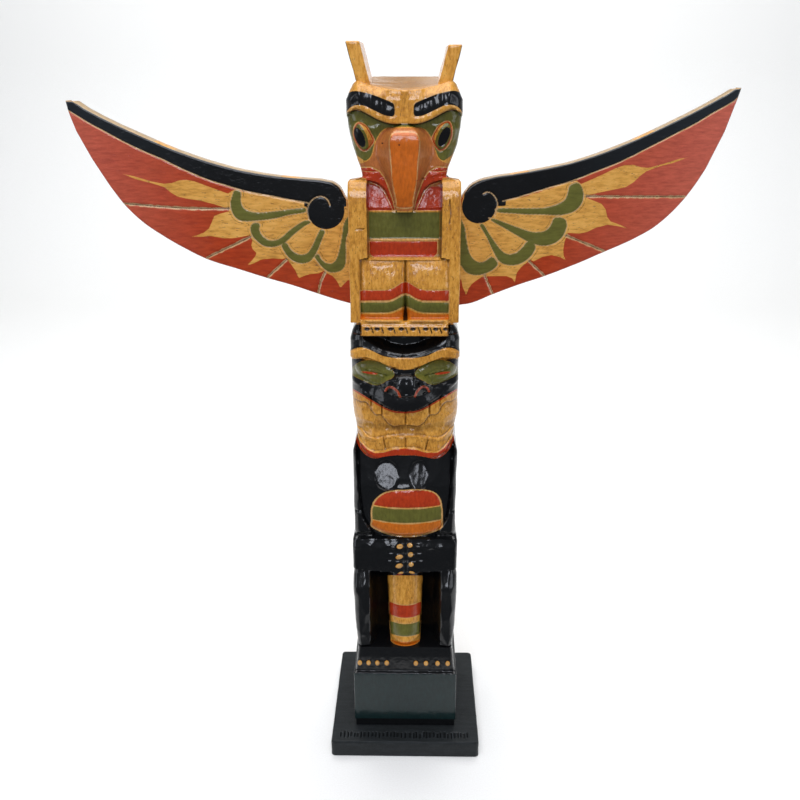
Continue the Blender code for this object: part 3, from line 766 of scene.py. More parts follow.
BELLY = Outline((
    (-22.9, 184.4), (-23.2, 190), (-23.2, 197), (-21.8, 203), (-19, 207), (-14, 210.8), (-8, 212.5),
    (0, 213), (8, 213.5), (15, 213), (20, 211.4), (23.4, 208), (25.2, 203), (25.9, 197), (26.0, 190),
    (25.8, 184.4), (20.5, 181), (10, 177.6), (0, 176.6), (-12, 178.8),
))
EYEBROW = Outline((
    (38, 468), (34, 470.2), (30, 471.8), (25, 471.4), (18, 469.6), (12, 467.4), (8, 465.8), (6.2, 464.8),
    (5.4, 463), (5.2, 459.4), (5.8, 457.6), (7.6, 456.9), (12, 457.7), (18, 460.4), (24, 463), (29.5, 463),
    (33, 460.5), (36, 455), (40, 452), (42, 462),
))
EYE_FIELD = Outline((
    (37, 459.5), (35.4, 448), (32.4, 440), (28.4, 435), (24, 432), (20, 432), (14, 435), (10, 440),
    (9, 445), (8, 449.0), (0, 450.2), (-1, 453), (8, 453), (15, 455), (20, 457.5), (25, 460), (30, 460.5),
    (34, 459),
), smooth=False)
EYE_LEFT = Outline((
    (-26.5, 454), (-22.5, 452), (-19.6, 447.5), (-17.8, 443.6), (-20, 440), (-23.2, 437.4), (-26.4, 438.6),
    (-29.2, 443), (-30.4, 448), (-29, 452.6),
))
EYE_RIGHT = Outline((
    (25.5, 454.6), (21, 452.6), (18, 448.5), (16.4, 444.4), (18.2, 440.4), (21, 437.6), (24, 438.4),
    (27, 442), (28.6, 447), (28, 452.4),
))
BEAK_SHAPE = Outline((
    (-7.5, 451), (-11, 450.2), (-13.4, 448.6), (-15.6, 445.6), (-17.6, 441.6), (-18.8, 437),
    (-20.4, 433.6), (-23.4, 431.4), (-29, 430), (-38, 429), (-38, 427.4), (-26, 428), (-20, 428.2),
    (-15, 425.8), (-12, 421.8), (-10.2, 417.6), (-7.2, 409), (-5.6, 402.5), (5.6, 402.5), (7.2, 409),
    (10.2, 417.6), (12, 421.8), (15, 425.8), (20, 428.2), (26, 428), (38, 427.4), (38, 429), (29, 430),
    (23.4, 431.4), (20.4, 433.6), (18.8, 437), (17.6, 441.6), (15.6, 445.6), (13.4, 448.6), (11, 450.2),
    (7.5, 451),
))
BEAK_FACET = Outline((
    (-8.9, 441.5), (-8.6, 444.8), (-7.0, 447.4), (-3.6, 448.4), (3.8, 448.4), (7.2, 447.4), (8.9, 444.8),
    (9.3, 441.5), (8.2, 430), (7.6, 420), (5.3, 408.5), (4.6, 404.2), (-4.4, 404.2), (-5.1, 408.5),
    (-7.4, 420), (-8, 430),
))
BILL_BAND = Outline((
    (40, 428), (26, 428), (20, 428.2), (15, 425.8), (12, 421.8), (10.2, 417.6), (7.2, 409), (5.6, 402),
    (7.0, 402), (8.6, 406), (12.2, 413.8), (15.5, 417.2), (20, 419), (25, 420.6), (40, 421.4),
), smooth=False)
LOWER_LIP = Outline((
    (-31, 251), (-29, 248), (-25, 243), (-20, 240.5), (-14, 241), (-8, 243), (0, 244), (8, 243), (14, 241),
    (22, 241), (27, 245), (30, 250), (32, 252), (28.4, 242), (22, 238), (14, 238), (5, 239), (-5, 239),
    (-12, 237.5), (-19, 236.5), (-24, 238.5), (-28.4, 244),
), smooth=False)
BEAR_EYE = Outline((
    (7, 298), (12, 302.6), (20, 306), (26.6, 305.8), (31.6, 303.4), (35.2, 299), (33, 295.4), (25, 291.2),
    (20, 289.2), (16, 289.6), (12, 292), (7.6, 294.6),
))
NOSTRILS = (
    Route(((-12.8, 285.0), (-10.6, 287.6), (-7.6, 287.2), (-4.6, 284.4), (-3.0, 281.0))),
    Route(((6.8, 281.2), (8.4, 285.0), (11.6, 288.0), (14.4, 287.4), (16.0, 285.0))),
)
CLAWS = (
    (-3.5, 169.0, 2.3, 1.9), (-4.0, 160.6, 2.6, 1.7), (-4.0, 153.4, 2.6, 1.8), (-3.2, 147.4, 2.3, 1.0),
    (3.5, 170.0, 1.9, 1.9), (4.0, 162.6, 1.8, 2.0), (4.4, 154.6, 1.7, 1.8), (5.0, 148.0, 2.2, 1.0),
)
FOOT_DOTS = (-33.5, -27.0, -20.5, -13.5, 8.0, 15.5, 24.0, 31.5)
CHIN_SEEN = (
    (0, 238.9), (5, 238.9), (14, 237.8), (19, 236.6), (24, 237.6), (28.4, 241.4), (31.6, 247.0),
    (34.0, 255.0), (36.0, 264.0), (38, 280.0),
)
LIP_SEEN = ((0, 269.8), (8, 270.8), (14, 273.3), (18, 275.8), (25, 280.2), (31, 284.2), (38, 288.5))
BAND_LOW_SEEN = ((0, 300.2), (5, 300.8), (11, 302.4), (18, 305.2), (26, 307.4), (34, 307.6), (38, 307.0))
BAND_HIGH_SEEN = ((0, 307.4), (10, 307.7), (15, 309.0), (20, 311.6), (27, 314.2), (33, 313.4), (38, 309.5))
JAW_SIDE = ((244.0, 29.6), (248.0, 31.4), (253.0, 33.2), (260.0, 34.9), (268.0, 35.7), (285.0, 35.8))
BROW_SEEN = (
    (0, 453.0), (8, 453.0), (15, 455.0), (20, 457.5), (25, 460.0), (30, 460.6), (34, 459.0), (38, 453.0),
)


class PostPaint:
    """Paint zones, scraped lines and painted shade in the cuts of the post, at places of the sheet."""

    def __init__(self, x: Array, z: Array) -> None:
        """Measure every zone once.

        Args:
            x: Distances from the middle line as the eye sees them.
            z: Heights as the eye sees them.
        """
        self.x, self.z = x, z
        self.side = np.abs(x)
        self.belly = BELLY.inside(x, z)
        self.brows = EYEBROW.inside(self.side, z)
        self.eyes = union(EYE_LEFT.inside(x, z), EYE_RIGHT.inside(x, z))
        self.pupils = union(oval_inside(x, z, (-26.5, 445.4), (2.8, 6.3), math.radians(23)),
                            oval_inside(x, z, (23.7, 445.6), (2.9, 6.4), math.radians(-25)))
        self.facet = BEAK_FACET.inside(x, z)
        self.beak = BEAK_SHAPE.inside(x, z)
        self.bill = BILL_BAND.inside(self.side, z)
        self.lip = LOWER_LIP.inside(x, z)
        self.bear_eyes = union(*(BEAR_EYE.inside(way * x, z - 0.4 * (way > 0)) for way in (-1, 1)))
        half = 12.5 - 2.0 * (144.5 - z) / 58.5
        self.log = both(half - np.abs(x - 0.2), between(z, 86.2 + 0.03 * x**2, 145.6))
        self.claws = union(*(oval_inside(x, z, (cx, cz), (a, b), math.radians(20 if cx < 0 else -18))
                             for cx, cz, a, b in CLAWS))
        self.dots = union(*(oval_inside(x, z, (spot, 71.0), (1.6, 2.2)) for spot in FOOT_DOTS))
        self.chest = 22.2 - self.side

    def bands(self) -> dict[str, Array]:
        """Curved colour bands of the belly, the log, the thighs and the chest.

        Returns:
            How many mm inside each band a place is, by the band's name.
        """
        x, z = self.x, self.z
        bow, roll = (np.abs(x - 1.0) / 25.0) ** 2, 3.0 * (x / 11.0) ** 2
        rise = np.exp(-((np.abs(x - 0.6) / 6.5) ** 2))
        thigh = both(28.2 - self.side, z - 331.8)
        rounded = 21.2 - np.abs(x + 0.6) - 3.0 * ramp(-z, -377.5, -373.0) ** 2
        patch = self.belly - 0.55
        return {
            "belly_red": both(patch, z - 199.1 - 2.8 * bow),
            "belly_green": both(patch, between(z, 187.4 + 3.5 * bow, 198.3 + 2.8 * bow)),
            "belly_orange": both(patch, 186.8 + 3.5 * bow - z),
            "log_red": both(self.log, between(z, 110.2 + roll, 121.0 + roll)),
            "log_green": both(self.log, between(z, 94.2 + roll, 105.0 + roll)),
            "log_orange": both(self.log, 89.6 + 0.8 * roll - z),
            "thigh_red": both(thigh, between(z, 345.6 + 4.8 * rise, 352.6 + 5.4 * rise)),
            "thigh_green": both(thigh, between(z, 337.8 + 4.0 * rise, 344.8 + 4.7 * rise)),
            "thigh_orange": both(thigh, 337.0 + 3.4 * rise - z, z - 333.4),
            "chest_top": both(self.chest, between(z, 402.4, 416.6 + 1.4 * (x < 0)), -self.bill, -self.beak),
            "chest_green": both(self.chest - 0.6, between(z, 385.2, 401.3)),
            "chest_low": both(rounded, between(z, 373.6, 383.8)),
        }

    def incised(self) -> Array:
        """How far each place is from the nearest scraped line, in millimetres.

        Returns:
            The distances.
        """
        x, z, bands = self.x, self.z, self.bands()
        lines = [np.abs(bands[name]) for name in ("belly_red", "belly_green", "belly_orange", "thigh_red",
                                                  "thigh_green", "chest_low", "log_red", "log_green")]
        lines += [np.abs(self.facet), np.abs(self.eyes), np.abs(self.brows) + 0.1, np.abs(self.belly)]
        lines.append(np.abs(self.lip) + 0.15 + 9.0 * (z < smooth_line(self.side, CHIN_SEEN) + 1.2))
        slit = np.abs(z - 425.4 - 0.02 * (self.side - 20.0) ** 2) + 8.0 * (self.side < 14.5) + 0.15
        edge = np.abs(z - smooth_line(self.side, BROW_SEEN) - 0.5) + 0.1
        return both(*lines, np.abs(self.bill), slit, edge)

    def fields(self) -> Fields:
        """Every layer's field at the places.

        Returns:
            The fields of the finish, by layer or name.
        """
        x, z, side, bands = self.x, self.z, self.side, self.bands()
        chin = smooth_line(side, CHIN_SEEN)
        low = both(chin - z, -self.belly - 0.1, -self.log - 0.15, -self.claws, -self.dots)
        lip_edge, band_low = smooth_line(side, LIP_SEEN), smooth_line(side, BAND_LOW_SEEN)
        face = both(z - lip_edge - 0.5, band_low - 0.5 - z, -self.bear_eyes - 0.05)
        nostril = 0.75 - both(*(route.away(x, z) for route in NOSTRILS))
        under_toes = union(322.4 - z, both(side - 28.2, 330.3 - z))
        hollow = both(z - smooth_line(side, BAND_HIGH_SEEN) - 0.5, under_toes)
        black = union(low, both(face, -nostril), hollow, self.brows - 0.35, self.pupils - 0.1)
        slits = union(*(both(0.8 - 0.02 * (x - centre - 3.5 * way) ** 2
                             - np.abs(z - 297.0 - way * 0.14 * (x - centre)),
                             6.4 - np.abs(x - centre - 3.5 * way)) for way, centre in BEAR_EYES))
        jaw = both(side - smooth_line(z, JAW_SIDE) + 0.9, between(z, 244.0, 285.0))
        gums = both(chin + 1.6 - z, z - chin)
        lip_line = both(0.55 - np.abs(z - lip_edge + 0.1), side + 9.0)
        under_hands = both(0.7 - np.abs(z - 146.4), 11.5 - side)
        beside_chest = both(0.7 - np.abs(side - 22.6), between(z, 404.0, 418.0))
        red = union(
            bands["belly_red"], bands["log_red"], bands["thigh_red"], bands["chest_top"], bands["chest_low"],
            self.bill - 0.2, self.lip, nostril, slits, gums, lip_line, jaw, 0.55 - np.abs(self.eyes - 0.3),
            under_hands, beside_chest,
        )
        brow = smooth_line(side, BROW_SEEN)
        green = union(
            bands["belly_green"], bands["log_green"], bands["thigh_green"], bands["chest_green"],
            both(self.bear_eyes, -slits), 0.75 - np.abs(self.pupils + 0.6),
            both(EYE_FIELD.inside(side, z), -self.eyes - 0.2, -self.beak - 0.3, brow - z),
        )
        orange = union(bands["belly_orange"], bands["log_orange"], bands["thigh_orange"], self.facet - 0.3)
        strip = both(between(side, 8.0, 22.5), between(z, 415.4 + 1.6 * (x < 0), 421.5), -self.bill)
        rust = union(self.beak - 0.2, strip, both(self.eyes - 0.4, 3.0 - np.abs(z - 441.0)))
        bare = union(0.32 - self.incised(), both(self.claws - 0.4, side + 1.0), self.dots - 0.5)
        return {
            Layer.RUST: rust, Layer.ORANGE: orange, Layer.GREEN: green, Layer.RED: red, Layer.BLACK: black,
            Layer.BARE: bare, Layer.SOOT: self.cuts(),
        }

    def cuts(self) -> Array:
        """Painted shade in the recesses: between the teeth and toes, in the toe dimples, in the cleft, in the
        cracks and pin holes, beside the folded arms, under the brow and under the toe ledge.

        Returns:
            How many mm inside a patch of painted shade each place is.
        """
        x, z, side = self.x, self.z, self.side
        about = np.abs(x - 0.6)
        upper, lower = smooth_line(about, UPPER_TEETH), smooth_line(about, LOWER_TEETH)
        teeth = [0.16 - np.abs(about - at) - 9.0 * (z < upper) for at in UPPER_GAPS]
        low = [0.12 - np.abs(about - at - lean * (z - 247.0) / 2.0) - 9.0 * (z > lower)
               for at, lean in LOWER_GAPS]
        mouth = both(union(*teeth, *low, 0.1 - np.abs(z - lower)),
                     between(z, smooth_line(side, CHIN_SEEN) + 3.0, smooth_line(side, LIP_SEEN) - 0.6))
        gaps = union(*(0.42 - np.abs(x - at + 0.3 * (z - 326.0)) for at in TOE_CUTS))
        toes = both(gaps, between(z, 324.0, 328.4))
        claws = union(*(oval_inside(x, z, (at, 327.3), (1.9, 1.2)) for at in BIRD_CLAWS))
        cleft = both(0.02 + 0.13 * np.clip(346.0 - z, 0.0, 11.0) - np.abs(x - 0.6), between(z, 333.0, 358.0))
        cracks = union(both(0.35 - np.abs(z - 392.0 - 0.05 * x), between(x, -30.4, -24.6)),
                       both(0.3 - np.abs(x - 28.0 - 0.3 * np.sin(z / 3.0)), between(z, 394.0, 408.5)))
        gap = both(0.45 - np.abs(side - 22.7), between(z, 373.0, 418.5))
        under = both(0.35 - np.abs(z - smooth_line(side, BROW_SEEN) + 0.15), 38.0 - side)
        pins = union(*(oval_inside(x, z, spot, (0.6, 0.6)) for spot in PIN_HOLES))
        foot = both(0.5 - np.abs(z - 322.2), 28.4 - side)
        return union(mouth, toes, claws, cleft, cracks, gap, under, pins, foot)

    def relief(self) -> Array:
        """Fine relief that goes with the drawing: V lines, sunk eyebrows, raised claws and dots.

        Returns:
            How far the surface is raised, below nought where it is cut.
        """
        cut = groove(self.incised(), 1.5, 0.38)
        cut = cut - 0.55 * ramp(self.brows, -0.2, 0.9)
        cut = cut - 0.5 * ramp(self.pupils, -0.3, 0.5)
        return cut + 0.5 * ramp(self.claws, -0.2, 0.8) + 0.35 * ramp(self.dots, -0.1, 0.5)


# Pieces

def make_mesh(name: str, points: Array, faces: Sequence[Sequence[int]]) -> bpy.types.Object:
    """A mesh object from points in millimetres.

    Args:
        name: Name of the object and of its mesh.
        points: One row of x, y and z for each vertex.
        faces: Vertex numbers of each face, counted round it.

    Returns:
        The new object, linked into the scene.
    """
    mesh = bpy.data.meshes.new(name)
    mesh.from_pydata((np.asarray(points) * MM).tolist(), [], faces)
    mesh.validate()
    made = bpy.data.objects.new(name, mesh)
    bpy.context.collection.objects.link(made)
    return made


def face_outwards(mesh: bpy.types.Mesh) -> None:
    """Turn every face of a closed mesh to the outside.

    Args:
        mesh: The mesh to mend.
    """
    bm = bmesh.new()
    bm.from_mesh(mesh)
    bmesh.ops.recalc_face_normals(bm, faces=bm.faces)
    bm.to_mesh(mesh)
    bm.free()


def places_of(mesh: bpy.types.Mesh) -> tuple[Array, Array, Array]:
    """The x, y and z of every vertex, in millimetres.

    Args:
        mesh: The mesh to read.

    Returns:
        All x, all y and all z.
    """
    flat = np.empty(len(mesh.vertices) * 3, np.float32)
    mesh.vertices.foreach_get("co", flat)
    return tuple(flat.reshape(-1, 3).astype(float).T / MM)


def store(mesh: bpy.types.Mesh, name: str, values: Array) -> None:
    """Keep one number for each vertex, under a name that the finish can read."""
    kept = mesh.attributes.new(name, "FLOAT", "POINT")
    kept.data.foreach_set("value", np.ascontiguousarray(values, np.float32))


def grid_faces(numbers: Array, closed: bool = False) -> list[list[int]]:
    """Quads between the rows of a table of vertex numbers, joined end to start when closed.

    Args:
        numbers: A table of vertex numbers.
        closed: Whether each row is a closed ring.

    Returns:
        The vertex numbers of each quad.
    """
    ahead = np.roll(numbers, -1, axis=1)
    stop = numbers.shape[1] if closed else numbers.shape[1] - 1
    quads = np.stack([numbers[:-1], ahead[:-1], ahead[1:], numbers[1:]], axis=-1)[:, :stop]
    return quads.reshape(-1, 4).tolist()


def round_over(distance: Array, radius: float) -> Array:
    """How far a surface drops at a distance from its rounded edge."""
    short = np.clip(radius - distance, 0.0, radius)
    return radius - np.sqrt(np.maximum(radius**2 - short**2, 0.0))


@dataclass
class Piece:
    """One named piece of the object that takes the place of a measured solid."""

    name: str
    node: Node
    slot: Slot
    sharp_degrees: float = 38.0

    def shape(self) -> bpy.types.Object:
        """Build the bare mesh. Each piece has its own."""
        raise NotImplementedError

    def paint(self, x: Array, y: Array, z: Array) -> Fields:
        """Fields of the finish at the vertices. Each piece has its own."""
        raise NotImplementedError

    def build(self, finish: bpy.types.Material) -> bpy.types.Object:
        """Shape the piece, lay its fields and finish on it, and let it ride on its body.

        Args:
            finish: The material of the piece.

        Returns:
            The finished object.
        """
        made = self.shape()
        mesh = made.data
        for layer, values in self.paint(*places_of(mesh)).items():
            store(mesh, getattr(layer, "value", layer), values)
        mesh.shade_smooth()
        mesh.set_sharp_from_angle(angle=math.radians(self.sharp_degrees))
        mesh.materials.clear()
        mesh.materials.append(finish)
        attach(made, "root")
        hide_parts(self.node.value)
        mesh.calc_loop_triangles()
        log.info("%s: %d triangles", self.name, len(mesh.loop_triangles))
        return made


@dataclass
class Horn:
    """One upright ear horn of the crown."""

    way: float
    thickness: float = 8.8
    depth: float = 44.0
    front: float = 30.5
    edge: float = 0.8
    worn_right: float = 2.2
    inner: tuple[Spot, ...] = ((467.0, 17.0), (476.0, 20.0), (484.0, 22.2), (499.0, 26.1))

    def shape(self) -> bpy.types.Object:
        """A hand-cut slab that leans out, with softened edges.

        Returns:
            The bare mesh object.
        """
        top = HORN_TOP - self.worn_right * (self.way > 0)
        heights = np.append(np.linspace(467.0, top - 0.8, 30), [top - 0.3, top])
        soft = np.append(np.zeros(30), [0.25, 0.8])
        along = np.concatenate([[0.0, 0.3, 0.8], np.linspace(1.8, self.depth - 1.8, 26),
                                [self.depth - 0.8, self.depth - 0.3, self.depth]])
        across = np.array([0.8, 2.4, 4.4, 6.4, self.thickness - 0.8])
        drop = round_over(np.minimum(along, self.depth - along), self.edge)
        right = np.stack([self.thickness - drop, along], axis=1)
        left = np.stack([drop, along], axis=1)[::-1]
        near_end = np.stack([across, np.full(5, 0.0)], axis=1)
        far_end = np.stack([across[::-1], np.full(5, self.depth)], axis=1)
        loop = np.concatenate([near_end, right, far_end, left])
        rows = []
        for height, pull in zip(heights, soft):
            middle = np.array([self.thickness / 2, self.depth / 2])
            shrink = 1.0 - pull / middle
            plan = middle + (loop - middle) * shrink
            wave = 0.3 * wander(plan[:, 1] + 40.0 * self.way, np.full(len(plan), height), 7.0, 31) - 0.15
            bent = np.where(plan[:, 0] > 4.4, wave - 0.15, 0.15 - wave)
            x = smooth_line(height, self.inner) + plan[:, 0] + bent
            rows.append(np.stack([self.way * x, plan[:, 1] - self.front, np.full(len(x), height)], axis=1))
        numbers = np.arange(len(rows) * len(loop)).reshape(len(rows), len(loop))
        faces = grid_faces(numbers, closed=True) + [numbers[0, ::-1].tolist(), numbers[-1].tolist()]
        made = make_mesh(f"horn_{self.way:+.0f}", np.concatenate(rows), faces)
        face_outwards(made.data)
        return made


@dataclass
class Post(Piece):
    """The carved post with both horns, as one closed skin."""

    front_cut: float = 0.73
    side_cuts: int = 12
    back_cuts: int = 9
    spacing: tuple[tuple[float, float, float], ...] = (
        (21.2, 61.2, 2.2), (63.0, 86.0, 0.7), (86.0, 145.0, 1.0), (145.0, 178.0, 0.65), (178.0, 232.0, 0.9),
        (232.0, 333.0, 0.6), (333.0, 400.0, 0.75), (400.0, 474.5, 0.55),
    )
    carving: Carving = field(default_factory=Carving)

    def heights(self) -> Array:
        """Levels of the rings, closer together where the carving is fine."""
        runs = [np.arange(low, high, cut) for low, high, cut in self.spacing]
        return np.concatenate([[FOOT, 14.4, 19.4, 20.0, 20.5], runs[0], [61.6, 61.9, 62.1, 62.4], *runs[1:]])

    @staticmethod
    def crown(x: Array, y: Array) -> Array:
        """Height of the top of the head: low in the middle of the front, higher at the back.

        Args:
            x: Places across the head.
            y: Places from front to back.

        Returns:
            The heights.
        """
        side, back = np.abs(x), (y + STOCK / 2) / STOCK
        top = CROWN_FRONT + CROWN_RISE * back + CROWN_DISH * (side / 28.0) ** 2 * (1.0 - back)
        return top - CROWN_CORNER_FALL * ramp(side, 27.0, 35.0)

    @staticmethod
    def shoulder_fall(x: Array, y: Array, z: Array) -> Array:
        """How far the flat shoulder beside the neck lies below its front edge.

        Args:
            x: Places across the object.
            y: Places from front to back.
            z: Heights above the table.

        Returns:
            The drop at each place.
        """
        back = np.clip((y - SHOULDER_FRONT) / (STOCK / 2 - SHOULDER_FRONT), 0.0, 1.0)
        outside = ramp(np.abs(x), SHOULDER_INNER, SHOULDER_INNER + 1.6)
        return SHOULDER_FALL * back * outside * ramp(z, SHOULDER_LOW, NECK_LOW - 1.5) * (z < NECK_LOW)

    def rings(self) -> tuple[Array, Array, Array]:
        """Tables of x, y and z with a closed ring in each row.

        Returns:
            The three tables.
        """
        level = self.heights()[:, None]
        count = int(round(STOCK / self.front_cut))
        ends = np.array([0.9985, 0.995, 0.987, 0.975])
        share = np.concatenate([-ends, np.linspace(-0.965, 0.965, count), ends[::-1]])
        share = np.sort(np.concatenate([share, [-1.0, 1.0]]))[None, :]
        half = straight_line(level, SILHOUETTE)
        radius = straight_line(level, CORNER)
        wobble = 0.35 * wander(np.sign(share) * 50.0, level, 11.0, 41) * ramp(level, 64.0, 70.0) - 0.2
        half = half + wobble * np.abs(share) ** 4 * (level > FEET_LOW)
        x = share * half
        z = np.broadcast_to(level, x.shape).copy()
        over = np.clip((np.abs(x) - (half - radius)) / radius, 0.0, 1.0)
        depth = self.carving.front(x, z)
        sheet = PostPaint(*on_sheet(x, z, depth))
        depth = depth + sheet.relief() - radius * (1.0 - np.sqrt(1.0 - over**2))
        depth = depth + 0.06 * wander(x, z, 2.4, 42) + 0.05 * wander(x, z, 1.2, 43)
        back = np.where(level < FEET_LOW, STOCK / 2, BACK_PLANE)
        back_round = np.minimum(radius, 2.5)
        run = (np.arange(1, self.side_cuts + 2) / (self.side_cuts + 1))[None, :]
        right_y = -depth[:, -1:] + (back - back_round + depth[:, -1:]) * run
        left_y = -depth[:, :1] + (back - back_round + depth[:, :1]) * run
        hollow = 0.3 * (knife_cuts(right_y, np.broadcast_to(level, right_y.shape), (11.0, 17.0), 44) + 0.5)
        hollow = hollow * np.sin(np.pi * run) ** 0.5 * ramp(level, 63.0, 68.0)
        right_x = half[:, -1:] - hollow
        left_x = -(half[:, :1] - hollow)
        spread = np.linspace(1.0, -1.0, self.back_cuts)[None, :]
        back_x = spread * (half[:, -1:] - back_round)
        ring_x = np.concatenate([x, right_x, back_x, left_x[:, ::-1]], axis=1)
        ring_y = np.concatenate([-depth, right_y, back + 0 * back_x, left_y[:, ::-1]], axis=1)
        ring_z = np.broadcast_to(level, ring_x.shape).copy()
        lift = ramp(ring_z, CROWN_LOW, HEAD_TOP) * (self.crown(ring_x, ring_y) - HEAD_TOP)
        return ring_x, ring_y, ring_z + lift - self.shoulder_fall(ring_x, ring_y, ring_z)

    def skin(self) -> bpy.types.Object:
        """The post without its horns.

        Returns:
            The bare mesh object.
        """
        x, y, z = self.rings()
        top_x, top_y = x[-1], y[-1]
        for share in (0.985, 0.95, 0.88, 0.78, 0.65, 0.5, 0.35, 0.2, 0.08):
            cap_x, cap_y = top_x * share, top_y * share
            cap_z = self.crown(cap_x, cap_y) + 0.8 + 0.2 * knife_cuts(cap_x, cap_y, (14.0, 9.0), 45)
            x, y, z = (np.vstack([table, row]) for table, row in ((x, cap_x), (y, cap_y), (z, cap_z)))
        numbers = np.arange(x.size).reshape(x.shape)
        faces = grid_faces(numbers, closed=True) + [numbers[0, ::-1].tolist(), numbers[-1].tolist()]
        made = make_mesh(self.name, np.stack([x.ravel(), y.ravel(), z.ravel()], axis=1), faces)
        face_outwards(made.data)
        return made

    def shape(self) -> bpy.types.Object:
        """The post joined to both horns.

        Returns:
            The bare mesh object.
        """
        made = self.skin()
        horns = [Horn(way).shape() for way in (-1.0, 1.0)]
        for horn in horns:
            join = made.modifiers.new(horn.name, "BOOLEAN")
            join.operation, join.solver, join.object = "UNION", "EXACT", horn
        graph = bpy.context.evaluated_depsgraph_get()
        joined = bpy.data.meshes.new_from_object(made.evaluated_get(graph))
        made.modifiers.clear()
        made.data = joined
        for horn in horns:
            bpy.data.objects.remove(horn, do_unlink=True)
        return made

    def paint(self, x: Array, y: Array, z: Array) -> Fields:
        """Zones of the front, carried round the sides, with a bare back.

        Args:
            x: Places across the object.
            y: Places from front to back.
            z: Heights above the table.

        Returns:
            The fields of the finish, by layer or name.
        """
        front = self.carving.front(x, z)
        radius = straight_line(z, CORNER)
        depth = np.maximum(-y, front - radius)
        fields = PostPaint(*on_sheet(x, z, depth)).fields()
        behind = y + front - radius
        bird = ramp(z, 330.4, 331.2)
        bare = 7.0 - 5.5 * ramp(z, 422.0, 424.0) * ramp(-z, -459.0, -455.0)
        side_edge = np.where(bird > 0.5, bare + 0.8 * wander(y, z, 6.0, 51) - behind, 40.0)
        reach = both(34.8 - y + 6.0 * (z < FEET_LOW), side_edge, np.where(z > HEAD_TOP, -1.0, 40.0))
        shoulder = (z > 410.0) & (z < 421.4) & ((np.abs(x) > 23.4) | (behind > 4.0))
        reach = np.where(shoulder, -1.0, reach)
        jaw = (z > 246.0) & (z < 284.0)
        # The block's black paint, tinted teal as a painted reflection.
        fields[Layer.BLOCK] = between(z, 20.6, 61.4)
        for layer in Layer:
            fields[layer] = np.clip(both(fields[layer], reach), FAR, DEEP)
        fields[Layer.RED] = np.where(jaw, both(fields[Layer.RED], 1.6 - behind), fields[Layer.RED])
        outer = smooth_line(z, ((476, 28.8), (484, 31.0), (499, 34.9)))
        horn = both(z - 477.0, np.abs(x) - outer + 0.7, -24.0 - y)
        fields[Layer.SOOT] = union(fields[Layer.SOOT], horn)
        # How far the carved front stands out from its neighbours: ridges rub through the paint, and the finish
        # darkens the wood in hollows.
        near = [self.carving.front(x + dx, z + dz) for dx, dz in ((1.2, 0), (-1.2, 0), (0, 1.2), (0, -1.2))]
        high = np.clip(front - np.mean(near, axis=0), -1.0, 1.0)
        high = high * (1.0 - ramp(behind, 0.0, 2.0)) * (z < 472.0)
        # Painted shade: a wavy dark band across the mouth, in the recess between the rows of teeth.
        above_gap = (z - 256.0 - 1.5 * wander(x, z, 9.0, 52)) / 3.2
        mouth = ramp(z, 247.0, 250.0) * ramp(-z, -264.0, -260.0) * np.exp(-(above_gap**2))
        fields["high"] = high - 0.35 * mouth * ramp(-behind, -3.0, 0.0)
        # Painted shade: the flat top of the head is darkened through the same value.
        flat_top = (np.abs(x) < 27.0) & (z > 469.0) & (z < self.crown(x, y) + 1.4) & (behind > 2.5)
        fields["high"] = np.where(flat_top, -0.38, fields["high"])
        return fields


class Side(str, Enum):
    """Which wing, as the viewer sees it."""

    LEFT = "left"
    RIGHT = "right"


@dataclass(frozen=True)
class WingDrawing:
    """Everything cut and painted on one wing board, as mm from the root and mm above the table."""

    top: tuple[Spot, ...]
    low: tuple[Spot, ...]
    band_top: tuple[Spot, ...]
    band_low: tuple[Spot, ...]
    scroll: tuple[float, float, float]
    curl: Route
    loops: tuple[Outline, ...]
    tan: Outline
    feathers: tuple[Route, ...]


